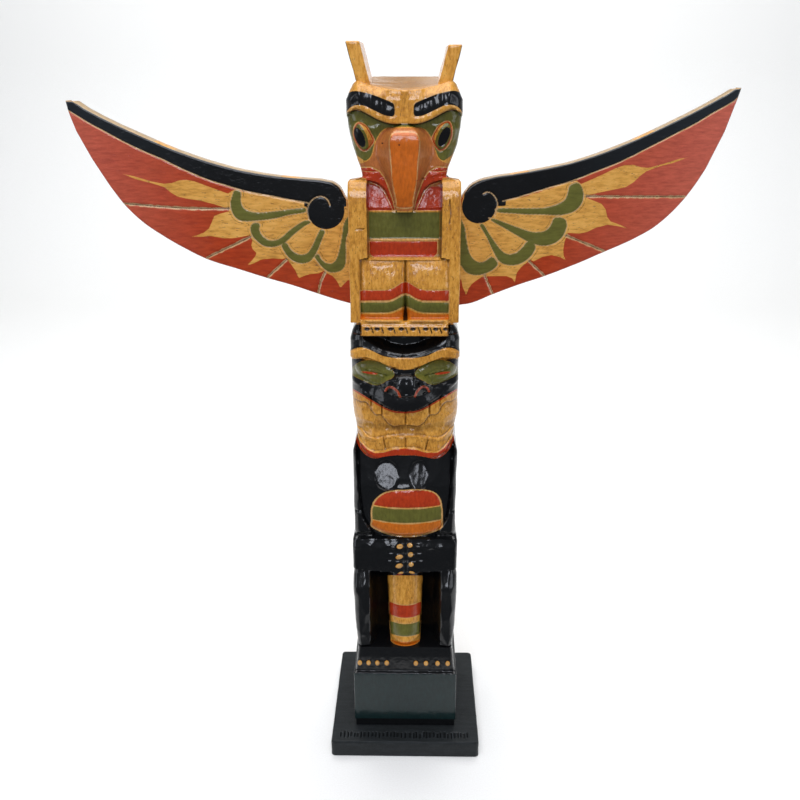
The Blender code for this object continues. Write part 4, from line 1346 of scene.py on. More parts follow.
LEFT_WING = WingDrawing(
    top=(
        (0, 403), (3.5, 405.5), (6, 410.5), (10, 414.2), (16, 416), (30, 417.5), (50, 419.4), (70, 422.8),
        (90, 428), (110, 434.8), (130, 443.2), (150, 452.2), (166, 460.4), (172.5, 465), (177.5, 465),
    ),
    low=(
        (0, 335.2), (10, 338), (23, 342.2), (40, 348), (57, 353), (76, 359), (97, 366), (110, 372.6),
        (124, 381), (137, 390.5), (147.5, 401.5), (155, 412.5), (165, 430), (173, 447), (176.3, 458),
        (177.5, 465),
    ),
    band_top=(
        (0, 430), (10, 414.6), (20, 416.4), (40, 418.6), (60, 421), (80, 425.3), (100, 431.3),
        (120, 438.9), (140, 447.6), (160, 457.4), (173, 465),
    ),
    band_low=(
        (20, 401), (28, 402.5), (40, 404.5), (50, 406.5), (60, 408.3), (70, 410.5), (80, 413.5),
        (90, 416.5), (100, 420.5), (110, 425), (120, 430), (126, 432.5), (135, 436.5), (145, 441.5),
        (155, 447), (165, 452.5), (172, 457), (176, 459.5), (180, 462),
    ),
    scroll=(16.2, 397.8, 12.3),
    curl=Route((
        (13.2, 400.8), (15, 404.6), (18.6, 406.4), (23, 405.4), (26.6, 402), (28.2, 397.5), (27.4, 392),
    )),
    loops=(
        Outline((
            (29, 399), (35, 398.7), (45, 397.6), (55, 396.4), (62, 396.3), (68, 398), (70.5, 401),
            (71, 405), (70.6, 409.3), (74.5, 410.4), (76.5, 407), (78, 402), (77.5, 397), (75, 392.5),
            (70, 390.6), (60, 391), (50, 392.2), (40, 394.6), (30, 396.2),
        )),
        Outline((
            (26, 389.5), (30, 387.5), (38, 381.5), (43, 377), (48, 374.5), (53, 373.6), (58, 374.5),
            (62, 377.5), (65, 381), (66, 385), (65, 388.5), (62, 389.8), (59.5, 388.6), (60, 385),
            (58, 381), (54, 378.3), (50, 378.3), (46, 380), (40, 385), (34, 389), (30, 391), (26.5, 391),
        )),
        Outline((
            (17, 384), (19, 379), (22, 372), (25, 367), (28, 364), (33, 362.8), (38, 364), (42, 367),
            (45, 371.5), (46, 374.5), (44.4, 376.6), (42, 376), (40.5, 373), (37, 369.8), (33, 368.7),
            (29, 370), (26, 374), (23, 380), (21, 384), (19.5, 385.5),
        )),
        Outline((
            (-2, 392), (3, 380), (3.5, 370), (4, 363), (6, 359), (10, 357), (15, 357), (19, 359.5),
            (22, 363), (24.4, 366.6), (23.4, 368.6), (21.5, 369), (20, 366), (17, 363.3), (13, 363),
            (10, 366), (8, 372), (6, 381), (4.5, 389), (1, 394),
        )),
    ),
    tan=Outline((
        (28, 402), (40, 404), (60, 408), (76, 410.3), (79, 408.2), (85, 410.5), (92, 413), (100, 416),
        (105, 417), (110, 416.7), (115, 415), (120, 414.5), (128, 416), (138, 419), (147.5, 421.3),
        (138, 417.5), (128, 415), (120, 412.5), (116, 409), (112, 406.5), (105, 405), (98, 404), (90, 402),
        (82, 399.5), (79, 399), (79, 397), (85, 395.5), (89, 394), (91, 390), (93, 386), (97, 383),
        (102, 381.3), (107, 380.3), (100, 380.5), (92, 381), (84, 379.5), (78, 379.6), (72, 380.5),
        (67, 381.5), (65, 378), (66, 375), (65, 372), (63, 370), (63.5, 368), (66, 365), (70, 361.3),
        (65, 363), (60, 365.5), (52, 366.3), (46, 365.8), (43.5, 366.5), (42, 364.5), (40, 362),
        (37.5, 358), (35.5, 353), (32, 354.5), (28, 355.8), (22, 356.3), (18.5, 358), (17, 356.5),
        (13, 354.5), (10, 351), (8, 346.5), (5, 349.5), (3, 351.5), (-3, 352.5), (-3, 390), (2, 400),
        (14, 402),
    ), smooth=False),
    feathers=(
        Route(((79, 398.6), (110, 399), (147, 401.9))),
        Route(((66, 380.4), (96, 366.6))),
        Route(((43, 365.4), (56.4, 353.6))),
        Route(((18, 356.6), (21, 350), (23, 343))),
    ),
)

RIGHT_WING = WingDrawing(
    top=(
        (0, 403), (2.5, 407.5), (6, 412), (11, 415.2), (20, 417.8), (35, 420), (50, 422.3), (70, 426.2),
        (90, 432), (110, 439.5), (130, 448.3), (150, 457.8), (168, 467.2), (173.5, 470.6), (177.5, 471),
    ),
    low=(
        (0, 334.5), (8, 335.6), (23.5, 341.5), (40, 347.5), (58, 353.3), (80, 361.5), (97.5, 369),
        (118, 378), (130, 385), (140, 393.8), (150, 405.5), (160, 421.5), (170, 445), (175.3, 463),
        (177.5, 471),
    ),
    band_top=((0, 440), (60, 440), (120, 460), (178, 480)),
    band_low=(
        (16, 400.5), (25, 402.5), (30, 403.5), (40, 406), (50, 409), (60, 411.8), (70, 414.5), (80, 418),
        (90, 421.8), (100, 425.5), (110, 430), (120, 435), (130, 440), (140, 445), (150, 450), (160, 456),
        (170, 461.5), (174, 464), (177, 467), (180, 469),
    ),
    scroll=(12.6, 400.2, 11.2),
    curl=Route(((15, 407.8), (18, 409), (21.4, 407.4), (24, 403.6), (24.6, 399.4), (23, 394))),
    loops=(
        Outline((
            (24, 398.5), (35, 398.5), (45, 398.3), (55, 398.5), (62, 400), (68, 403), (70, 407), (71, 412),
            (74, 413.8), (77, 414), (79.5, 411), (81, 406), (80, 401), (77, 397), (72, 394.5), (65, 393.5),
            (55, 394), (45, 394.3), (35, 395), (25, 396),
        )),
        Outline((
            (19, 392.5), (24, 391.5), (32, 388.5), (40, 385.5), (48, 383), (54, 383), (58, 384.5),
            (60.5, 388), (62, 391.6), (66, 392.3), (70, 390.4), (71, 386), (69, 380), (65, 376), (60, 374),
            (54, 373.8), (48, 375.5), (42, 378.5), (35, 382.5), (28, 386.5), (21, 390.5),
        )),
        Outline((
            (13, 389), (16, 388), (20, 382), (25, 375), (29, 370.5), (33, 368.5), (38, 369.5), (42, 373),
            (45, 376.6), (49, 376), (51, 372.5), (49, 368), (45, 364), (40, 361.5), (35, 361), (30, 362),
            (26, 365), (22, 372), (18, 380), (14, 386.5),
        )),
        Outline((
            (-2, 393), (3, 388), (5, 378), (7, 370), (10, 365.5), (14, 363.5), (18, 364.5), (21.6, 367),
            (24.6, 365), (26.3, 362), (24, 359), (20, 356.5), (15, 355), (10, 355), (5, 357), (2, 361),
            (-2, 367),
        )),
    ),
    tan=Outline((
        (20, 402), (40, 405), (60, 411), (76, 415.5), (78, 413), (85, 416), (92, 419), (100, 422.8),
        (106, 424.8), (112, 425), (117, 423.5), (122, 423), (132, 425.5), (142, 428.5), (148, 429.5),
        (138, 426), (128, 423.5), (121, 421), (117, 418), (113, 414), (108, 411), (100, 409.5), (92, 408),
        (85, 406.5), (83, 406), (83, 404.5), (88, 402.5), (93, 400.5), (96, 397), (97.5, 392), (100, 389),
        (106, 387), (114, 383.5), (105, 386), (98, 387), (90, 385), (85, 382.5), (80, 381.5), (72, 382),
        (71, 379), (70, 376), (69.5, 371), (70, 367), (72, 363.5), (68, 366), (62, 367.5), (56, 366.5),
        (50, 363.5), (48, 364.5), (46, 363), (42, 360), (39, 356), (38, 349.5), (36, 352.5), (32, 354),
        (26, 354), (19, 354), (17, 354), (13, 352), (9, 349), (7, 346), (5.5, 341.5), (3, 347), (2, 352),
        (-3, 354), (-3, 392), (4, 400),
    ), smooth=False),
    feathers=(
        Route(((83, 405.4), (110, 404.8), (148, 404.4))),
        Route(((71, 380.2), (97, 369.4))),
        Route(((47, 363.6), (57.6, 353.8))),
        Route(((17.5, 354.6), (20, 349), (23.3, 342.2))),
    ),
)


@dataclass
class Wing(Piece):
    """A flat painted wing board, cut to a curved feather outline."""

    side: Side = Side.LEFT
    drawing: WingDrawing = LEFT_WING
    sweep_degrees: float = 0.0
    thickness: float = 12.0
    root_x: float = 35.3
    span: float = 177.5
    shrink: float = 177.0 / 177.5
    # Where the painted sheen and fading start on the board and how fast they grow towards the tip.
    sheen_and_fade_ramp: tuple[float, float] = (0.0, 0.86)
    columns: int = 236
    rows: int = 92

    @property
    def way(self) -> float:
        """-1 for the wing on the viewer's left, 1 for the other."""
        return -1.0 if self.side is Side.LEFT else 1.0

    def edge(self, s: Array, points: Sequence[Spot]) -> Array:
        """A long edge of the board: a smooth curve that ends straight at the tip.

        Args:
            s: Distances out along the board from its root.
            points: Points of the edge.

        Returns:
            The edge's heights.
        """
        curve = smooth_line(s, points)
        return curve + (straight_line(s, points) - curve) * ramp(s, 150.0, 164.0)

    def zones(self, s: Array, z: Array) -> dict[str, Array]:
        """Inside distances of the black band, the green loops, the tan star and the cuts.

        Args:
            s: Distances out along the board from its root.
            z: Heights above the table.

        Returns:
            Distances in mm, by the zone's name.
        """
        art = self.drawing
        cx, cz, radius = art.scroll
        disc = radius - np.hypot(s - cx, z - cz)
        band = both(z - smooth_line(s, art.band_low), s - 18.0, smooth_line(s, art.band_top) - z)
        shoulder = both(z - 400.0, 30.0 - s, s - 2.6)
        return {
            "black": union(disc, band, shoulder),
            "band": np.abs(z - smooth_line(s, art.band_low)) + 5.0 * (s < 27.0),
            "green": union(*(loop.inside(s, z) for loop in art.loops)),
            "tan": art.tan.inside(s, z),
            "curl": art.curl.away(s, z),
            "feather": both(*(route.away(s, z) for route in art.feathers)),
        }

    def relief(self, s: Array, z: Array) -> Array:
        """How far the face is cut back, in millimetres.

        Args:
            s: Distances out along the board from its root.
            z: Heights above the table.

        Returns:
            Depth of the cuts.
        """
        found = self.zones(s, z)
        cut = -groove(found["feather"], 1.9, 1.0) - groove(found["curl"], 1.7, 0.8)
        cut = cut - groove(found["band"], 1.4, 0.55) - groove(found["green"], 1.2, 0.35)
        return cut - groove(np.abs(found["green"] + 1.5), 0.9, 0.25) + 0.07 * (1.0 + wander(s, z, 14.0, 61))

    def shape(self) -> bpy.types.Object:
        """Front and back faces on one grid, joined by the cut edge.

        Returns:
            The bare mesh object.
        """
        ends = np.array([0.0, 0.35, 0.9])
        middle = np.linspace(1.6, self.span - 1.6, self.columns)
        s = np.concatenate([ends, middle, self.span - ends[::-1]])[:, None]
        across = np.linspace(0.03, 0.97, self.rows)
        t = np.concatenate([[0.0, 0.004, 0.011, 0.02], across, [0.98, 0.989, 0.996, 1.0]])
        low, top = self.edge(s, self.drawing.low), self.edge(s, self.drawing.top)
        top = np.maximum(top, low + 0.5)
        rough = 0.12 * wander(s, s * 0.0, 7.0, 62)
        z = low + rough + (top - low - 2.0 * rough) * t[None, :]
        s = np.broadcast_to(s, z.shape)
        lean = np.cos(np.arctan(np.gradient(low[:, 0], s[:, 0])))[:, None]
        lean_top = np.cos(np.arctan(np.gradient(top[:, 0], s[:, 0])))[:, None]
        to_edge = np.minimum(np.minimum((z - low) * lean, (top - z) * lean_top), self.span - s)
        drop = round_over(to_edge, 1.0)
        half = self.thickness / 2
        front = -half + drop + self.relief(s, z) * (to_edge > 0.02)
        back = half - drop
        numbers = np.arange(z.size).reshape(z.shape)
        behind = numbers + z.size
        rim = np.concatenate([numbers[:, 0], numbers[-1, 1:], numbers[-2::-1, -1], numbers[0, -2:0:-1]])
        ring = np.stack([rim, rim + z.size])
        faces = grid_faces(numbers) + grid_faces(behind) + grid_faces(ring, closed=True)
        sweep = math.radians(self.sweep_degrees)
        spots = []
        for y in (front, back):
            x = self.way * (self.root_x + s * self.shrink * math.cos(sweep))
            swept = y + s * self.shrink * math.sin(sweep)
            spots.append(np.stack([x.ravel(), swept.ravel(), z.ravel()], axis=1))
        made = make_mesh(self.name, np.concatenate(spots), faces)
        face_outwards(made.data)
        return made

    def paint(self, x: Array, y: Array, z: Array) -> Fields:
        """Red over the whole face but for the black band, the green loops and the bare star.

        Args:
            x: Places across the object.
            y: Places from front to back.
            z: Heights above the table.

        Returns:
            The fields of the finish, by layer or name.
        """
        sweep = math.radians(self.sweep_degrees)
        run = (self.way * x - self.root_x) / math.cos(sweep)
        level = y - run * math.sin(sweep)
        s = run / self.shrink
        found = self.zones(s, z)
        face = -4.85 - level
        black, green = found["black"], both(found["green"], -found["black"] - 0.5)
        notches = 0.95 - found["feather"] + 0.35 * wander(s, z, 2.2, 63)
        lines = union(0.42 - found["band"], 0.34 - np.abs(found["green"]), 0.45 - found["curl"], notches)
        red = both(-found["tan"], -black - 0.4, -found["green"] - 0.4)
        # Painted shade in the bottoms of the feather grooves and of the groove round each green loop.
        dark = union(0.34 - found["feather"], 0.16 - np.abs(found["green"] + 1.5))
        fields = {Layer.RED: red, Layer.GREEN: green, Layer.BLACK: black, Layer.BARE: lines, Layer.SOOT: dark}
        fields = {layer: np.clip(both(values, face), FAR, DEEP) for layer, values in fields.items()}
        fields[Layer.RUST] = np.where(np.abs(level) < 5.3, 0.6, FAR)
        # How far out along the board each place is, which sets the painted sheen and fading.
        fields["along"] = self.sheen_and_fade_ramp[0] + self.sheen_and_fade_ramp[1] * s / self.span
        return fields


@dataclass
class Plate(Piece):
    """The square base plate, with worn edges and one row of shallow strokes."""

    width: float = 110.3
    thickness: float = 13.5
    edge: float = 2.2
    plan_round: float = 3.0
    strokes: int = 37

    def marks(self, x: Array, y: Array) -> Array:
        """Depth of the strokes cut along the front margin: upright, uneven, and not letters.

        Args:
            x: Places across the plate.
            y: Places from front to back.

        Returns:
            Depths, below nought in a stroke.
        """
        rng = np.random.default_rng(71)
        cut = np.zeros(np.shape(x))
        at = -50.5
        for _ in range(self.strokes):
            at += rng.uniform(2.2, 3.2)
            low, high = -51.5 + rng.uniform(0.0, 1.8), -43.0 - rng.uniform(0.0, 2.0)
            line = groove(x - at, 1.5, 0.75)
            line = line * ramp(y, low, low + 0.8) * ramp(-y, -high, -high + 0.8)
            cut = np.minimum(cut, line)
        return cut

    def shape(self) -> bpy.types.Object:
        """Top grid with rounded edges, walls and a flat underside.

        Returns:
            The bare mesh object.
        """
        half = self.width / 2
        rim = np.array([0.0, 0.25, 0.7, 1.4, 2.2, 3.0])
        x = np.concatenate([-half + rim, np.linspace(-half + 3.6, half - 3.6, 150), half - rim[::-1]])
        front = np.linspace(-half + 3.6, -37.5, 34)
        y = np.concatenate([-half + rim, front, np.linspace(-35.0, half - 3.6, 40), half - rim[::-1]])
        px, py = np.meshgrid(x, y, indexing="ij")
        over_x, over_y = np.abs(px) - (half - self.plan_round), np.abs(py) - (half - self.plan_round)
        corner = (over_x > 0) & (over_y > 0)
        pull = np.where(corner, np.maximum(over_x, over_y) / np.maximum(np.hypot(over_x, over_y), 1e-6), 1.0)
        gx = np.where(corner, np.sign(px) * (half - self.plan_round + over_x * pull), px)
        gy = np.where(corner, np.sign(py) * (half - self.plan_round + over_y * pull), py)
        to_edge = half - np.maximum(np.abs(px), np.abs(py))
        worn = self.edge * (1.0 + 0.35 * wander(px + py, px - py, 9.0, 72)) + 0.3
        drop = np.minimum(round_over(to_edge, 1.0) * worn, self.edge + 0.9)
        top = self.thickness - drop + self.marks(gx, gy) - 0.12 * (1.0 + wander(px, py, 5.0, 73))
        numbers = np.arange(px.size).reshape(px.shape)
        ring = np.concatenate([numbers[:, 0], numbers[-1, 1:], numbers[-2::-1, -1], numbers[0, -2:0:-1]])
        spots = [np.stack([gx.ravel(), gy.ravel(), top.ravel()], axis=1)]
        rows = [ring]
        base = spots[0][ring]
        for level, inset in ((0.65, 0.0), (0.3, 0.0), (0.06, 0.0), (0.02, 0.15), (0.0, 0.45)):
            row = base.copy()
            row[:, 2] = base[:, 2] * level
            wave = 0.12 * (1.0 + wander(row[:, 0] + row[:, 1], row[:, 2] * 3.0, 8.0, 74)) * (level > 0.1)
            row[:, :2] *= 1.0 - (inset + wave[:, None]) / half
            rows.append(np.arange(len(ring)) + sum(len(block) for block in spots))
            spots.append(row)
        faces = grid_faces(numbers) + grid_faces(np.stack(rows), closed=True) + [rows[-1][::-1].tolist()]
        made = make_mesh(self.name, np.concatenate(spots), faces)
        face_outwards(made.data)
        return made

    def paint(self, x: Array, y: Array, z: Array) -> Fields:
        """Worn edges, painted highlights along the rims of the strokes and painted shade in their bottoms.

        Args:
            x: Places across the object.
            y: Places from front to back.
            z: Heights above the table.

        Returns:
            The fields of the finish, by layer or name.
        """
        half = self.width / 2
        to_edge = half - np.maximum(np.abs(x), np.abs(y))
        rub = 0.9 - np.hypot(np.minimum(to_edge, 3.0), np.minimum(self.thickness - z, 3.0) - 0.4)
        depth = -self.marks(x, y)
        # Painted highlight: a pale grey rim along the edge of each stroke, laid with the worn edges.
        rim = 3.0 * (0.12 - np.abs(depth - 0.16))
        worn = union(rim, rub - 0.9 + 0.5 * wander(x + y, x - y, 6.0, 75))
        # Painted shade darkens the bottom of each stroke.
        return {Layer.BARE: worn, Layer.SOOT: depth - 0.3}


# Finishes

class Tree:
    """A material's node tree while it is put together."""

    def __init__(self, name: str) -> None:
        """Start an empty material.

        Args:
            name: What the finish is in real life.
        """
        self.material = bpy.data.materials.new(name)
        self.material.use_nodes = True
        self.material.node_tree.nodes.clear()

    def add(self, kind: str, feeds: dict[Any, Any] | None = None, **settings: Any) -> bpy.types.Node:
        """Add one node.

        Args:
            kind: Node type, without its ShaderNode start.
            feeds: Value, node or output socket for each input, by the input's name or number.
            settings: The node's own settings.

        Returns:
            The new node.
        """
        made = self.material.node_tree.nodes.new("ShaderNode" + kind)
        for name, value in settings.items():
            setattr(made, name, value)
        for key, value in (feeds or {}).items():
            socket = made.inputs[key]
            if isinstance(value, bpy.types.Node):
                value = next(output for output in value.outputs if output.enabled)
            if isinstance(value, bpy.types.NodeSocket):
                self.material.node_tree.links.new(value, socket)
            else:
                socket.default_value = value
        return made

    def noise(self, place: Any, scale: float, detail: float = 3.0, rough: float = 0.55) -> bpy.types.Node:
        """Noise whose bumps are 1 / scale across, at a place in mm."""
        return self.add("TexNoise", {"Vector": place, "Scale": scale, "Detail": detail, "Roughness": rough})

    def share(self, value: Any, low: float, high: float, start: float = 0.0,
              end: float = 1.0) -> bpy.types.Node:
        """The value spread from start to end as it goes from low to high."""
        feeds = {"Value": value, "From Min": low, "From Max": high, "To Min": start, "To Max": end}
        return self.add("MapRange", feeds, clamp=True)

    def blend(self, factor: Any, first: Any, second: Any, way: str = "MIX") -> bpy.types.NodeSocket:
        """Two colours in proportion."""
        made = self.add("Mix", {0: factor, 6: first, 7: second}, data_type="RGBA", blend_type=way)
        return made.outputs[2]

    def math(self, way: str, first: Any, second: Any = 0.0) -> bpy.types.Node:
        """A sum of two values."""
        return self.add("Math", {0: first, 1: second}, operation=way)


@dataclass(frozen=True)
class Wood:
    """A stained wood, with colours from the palest to the darkest and the way its grain runs."""

    name: str
    pale: str
    middle: str
    dark: str
    pore: str
    stretch: tuple[float, float, float]
    streak_mm: float = 2.6
    pore_share: float = 0.62

    def colour(self, tree: Tree, place: Any) -> tuple[Any, Any, Any]:
        """Grain colour, where its pores are, and its streaks.

        Args:
            tree: The material's tree.
            place: Place on the piece, in mm.

        Returns:
            The colour, the share of pore and the share of streak.
        """
        along = tree.add("VectorMath", {0: place, 1: self.stretch}, operation="MULTIPLY")
        streak = tree.noise(along, 1.0 / self.streak_mm, 5.0, 0.62)
        blotch = tree.noise(place, 0.045, 2.0)
        fine = tree.noise(along, 1.6, 2.0, 0.5)
        tone = tree.math("ADD", tree.math("MULTIPLY", streak, 0.7), tree.math("MULTIPLY", blotch, 0.3))
        low = tree.blend(tree.share(tone, 0.36, 0.5), linear(self.dark), linear(self.middle))
        wood = tree.blend(tree.share(tone, 0.49, 0.66), low, linear(self.pale))
        pore = tree.share(fine, self.pore_share, self.pore_share + 0.09)
        return tree.blend(tree.math("MULTIPLY", pore, 0.8), wood, linear(self.pore)), pore, streak


@dataclass(frozen=True)
class Paint:
    """One paint or stain, with its field, its two mixed tones, how well it hides the wood, and a paler tone
    for a painted sheen and partly faded paint out along a wing.
    """

    layer: Layer
    tone: str
    other: str
    hides: float = 0.95
    ragged_mm: float = 0.22
    soft_mm: float = 0.13
    chips: float = 0.0
    sheen_and_fade: str = ""

    def lay(self, tree: Tree, under: Any, place: Any, streak: Any) -> tuple[Any, Any]:
        """Cover what is under it.

        Args:
            tree: The material's tree.
            under: The colour below.
            place: Place on the piece, in mm.
            streak: Share of grain streak, which a thin coat lets through.

        Returns:
            The colour with this coat on it, and where the coat is.
        """
        edge = tree.add("Attribute", attribute_name=self.layer.value).outputs["Fac"]
        wave = tree.math("MULTIPLY_ADD", tree.noise(place, 0.9, 2.0), 2.0 * self.ragged_mm)
        wave.inputs[2].default_value = -self.ragged_mm
        mask = tree.share(tree.math("ADD", edge, wave), -self.soft_mm, self.soft_mm)
        if self.chips:
            high = tree.add("Attribute", attribute_name="high").outputs["Fac"]
            rub = tree.math("ADD", tree.math("MULTIPLY", high, self.chips), tree.noise(place, 0.55, 4.0, 0.7))
            mask = tree.math("MULTIPLY", mask, tree.share(rub, 0.86, 0.93, 1.0, 0.0))
        body = tree.blend(tree.noise(place, 0.16, 4.0, 0.6), linear(self.tone), linear(self.other))
        # Painted sheen, with partly faded paint: a paler tone that grows out along the wing.
        if self.sheen_and_fade:
            along = tree.add("Attribute", attribute_name="along").outputs["Fac"]
            body = tree.blend(tree.share(along, 0.42, 0.98, 0.0, 0.9), body, linear(self.sheen_and_fade))
        shade = tree.share(streak, 0.3, 0.7, 0.80, 1.16)
        body = tree.blend(1.0, body, tree.add("CombineColor", {0: shade, 1: shade, 2: shade}), "MULTIPLY")
        return tree.blend(tree.math("MULTIPLY", mask, self.hides), under, body), mask


@dataclass(frozen=True)
class Varnish:
    """A clear coat over paint and wood, with the unevenness that breaks up its reflections."""

    weight: float = 0.75
    roughness: float = 0.10
    body_roughness: float = 0.42
    ripple_mm: float = 0.05
    ripple_size_mm: float = 1.1
    pore_mm: float = 0.06


@dataclass(frozen=True)
class Finish:
    """A whole finish: wood, the paints on it, darker wood in the hollows with painted shade where the post
    asks for it, and the varnish.
    """

    name: str
    wood: Wood
    paints: tuple[Paint, ...]
    varnish: Varnish = Varnish()

    def material(self) -> bpy.types.Material:
        """Build the finish as a material.

        Returns:
            The material, with its whole tree.
        """
        tree = Tree(self.name)
        place = tree.add("VectorMath", {0: tree.add("TexCoord").outputs["Object"], 1: (1e3, 1e3, 1e3)},
                         operation="MULTIPLY")
        colour, pore, streak = self.wood.colour(tree, place)
        # Darker wood in the hollows, and painted shade on the post's mouth and flat crown, which the post
        # writes into the same value.
        high = tree.add("Attribute", attribute_name="high").outputs["Fac"]
        hollow_dark_and_shade = tree.share(high, -0.55, -0.05, 0.45, 1.0)
        colour = tree.blend(1.0, colour, tree.add("CombineColor", {0: hollow_dark_and_shade, 1: hollow_dark_and_shade, 2: hollow_dark_and_shade}), "MULTIPLY")
        covered: Any = 0.0
        for paint in self.paints:
            colour, mask = paint.lay(tree, colour, place, streak)
            if paint.layer not in (Layer.BARE, Layer.SOOT):
                covered = tree.math("MAXIMUM", covered, mask)
        ripple = tree.noise(place, 1.0 / self.varnish.ripple_size_mm, 3.0, 0.6)
        open_pore = tree.math("MULTIPLY", pore, tree.share(covered, 0.0, 1.0, 1.0, 0.35))
        level = tree.math("SUBTRACT", tree.math("MULTIPLY", ripple, self.varnish.ripple_mm),
                          tree.math("MULTIPLY", open_pore, self.varnish.pore_mm))
        level = tree.math("ADD", level, tree.math("MULTIPLY", streak, 0.5 * self.varnish.pore_mm))
        bump = tree.add("Bump", {"Height": level, "Strength": 1.0, "Distance": MM})
        shader = tree.add("BsdfPrincipled", {
            "Base Color": colour, "Roughness": self.varnish.body_roughness, "Normal": bump,
            "Coat Normal": bump, "Coat Weight": self.varnish.weight, "Coat Roughness": self.varnish.roughness,
            "Coat IOR": 1.5, "Specular IOR Level": 0.12,
        })
        tree.add("OutputMaterial", {"Surface": shader})
        return tree.material


# Alder or basswood under amber stain: a warm gold with short dark flecks that run up the post.
POST_WOOD = Wood("amber stained basswood", "#EDB052", "#D8973A", "#B3762A", "#6A431B", (1.0, 1.0, 0.36),
                 streak_mm=1.5, pore_share=0.63)
# The same stain on an open-pored board: the pores lie along the wing as fine dark dashes.
WING_WOOD = Wood("amber stained open-pored wood", "#F2B860", "#E2A54C", "#C2883B", "#6A3F18", (0.2, 1.0, 1.0),
                 streak_mm=1.6, pore_share=0.64)
# Charcoal paint soaked into the plate: hardly any grain left, only a slight mottle.
PLATE_WOOD = Wood("charcoal painted wood", "#202325", "#181B1C", "#131516", "#0D0E0F", (0.1, 1.0, 1.0),
                  pore_share=0.66)

POST_FINISH = Finish("Varnished carved basswood with enamel paint", POST_WOOD, (
    Paint(Layer.RUST, "#C26F3C", "#A85A2E", hides=0.85, ragged_mm=0.1),
    Paint(Layer.ORANGE, "#D86D0C", "#C55C08", hides=0.85, ragged_mm=0.1),
    Paint(Layer.GREEN, "#64692B", "#535823", chips=0.25),
    Paint(Layer.RED, "#C0300C", "#A42508", chips=0.25),
    Paint(Layer.BLACK, "#050608", "#08090B", hides=1.0, ragged_mm=0.12, chips=0.14),
    # Teal-black: black paint with a painted reflection tint.
    Paint(Layer.BLOCK, "#0E2626", "#0A1C1D", hides=0.97, ragged_mm=0.3, soft_mm=0.4),
    Paint(Layer.BARE, "#E2B878", "#C78F4A", hides=0.9, ragged_mm=0.25, soft_mm=0.16),
    # Dark brown painted shade for the recesses, also the dark painted strip on the horns' outer edges.
    Paint(Layer.SOOT, "#1B0F0A", "#0E0807", hides=0.92, ragged_mm=0.2, soft_mm=0.2),
))
WING_FINISH = Finish("Varnished painted wing board", WING_WOOD, (
    Paint(Layer.GREEN, "#646A2C", "#565B24", hides=0.95, ragged_mm=0.12),
    # The paler red and grey-black tones are a painted sheen and partly faded paint, growing out along each
    # wing.
    Paint(Layer.RED, "#B82D0E", "#9F260C", hides=0.93, ragged_mm=0.15, sheen_and_fade="#CB6256"),
    Paint(Layer.BLACK, "#020203", "#08090C", hides=1.0, ragged_mm=0.12, sheen_and_fade="#23292E"),
    Paint(Layer.RUST, "#C9B697", "#A08C6E", hides=0.8, ragged_mm=0.2),
    Paint(Layer.BARE, "#DDBE92", "#C49A62", hides=0.9, ragged_mm=0.25, soft_mm=0.16),
    # Dark brown painted shade in the grooves.
    Paint(Layer.SOOT, "#23120B", "#120A07", hides=0.9, ragged_mm=0.2, soft_mm=0.18),
), Varnish(weight=0.7, roughness=0.16, pore_mm=0.09))
PLATE_FINISH = Finish("Worn charcoal paint on a wooden plate", PLATE_WOOD, (
    # Pale grey for the worn edges and the painted highlights on the stroke rims.
    Paint(Layer.BARE, "#4A4F52", "#2B2F32", hides=0.75, ragged_mm=0.12, soft_mm=0.2),
    # Near-black painted shade in the strokes.
    Paint(Layer.SOOT, "#0C0E10", "#08090B", hides=0.85, ragged_mm=0.1, soft_mm=0.2),
), Varnish(weight=0.15, roughness=0.35, body_roughness=0.5, ripple_mm=0.09, ripple_size_mm=0.9))


# Studio

@dataclass(frozen=True)
class Softbox:
    """A soft square light that faces a point near the post."""

    name: str
    place: tuple[float, float, float]
    size: float
    watts: float
    colour: str = "#FFFFFF"
    aim: tuple[float, float, float] = (0.0, 0.0, 0.25)

    def hang(self) -> None:
        """Put the light in the scene."""
        lamp = bpy.data.lights.new(self.name, "AREA")
        lamp.shape, lamp.size, lamp.energy = "SQUARE", self.size, self.watts
        lamp.color = linear(self.colour)[:3]
        held = bpy.data.objects.new(self.name, lamp)
        bpy.context.collection.objects.link(held)
        held.location = self.place
        held.rotation_euler = (Vector(self.aim) - Vector(self.place)).to_track_quat("-Z", "Y").to_euler()


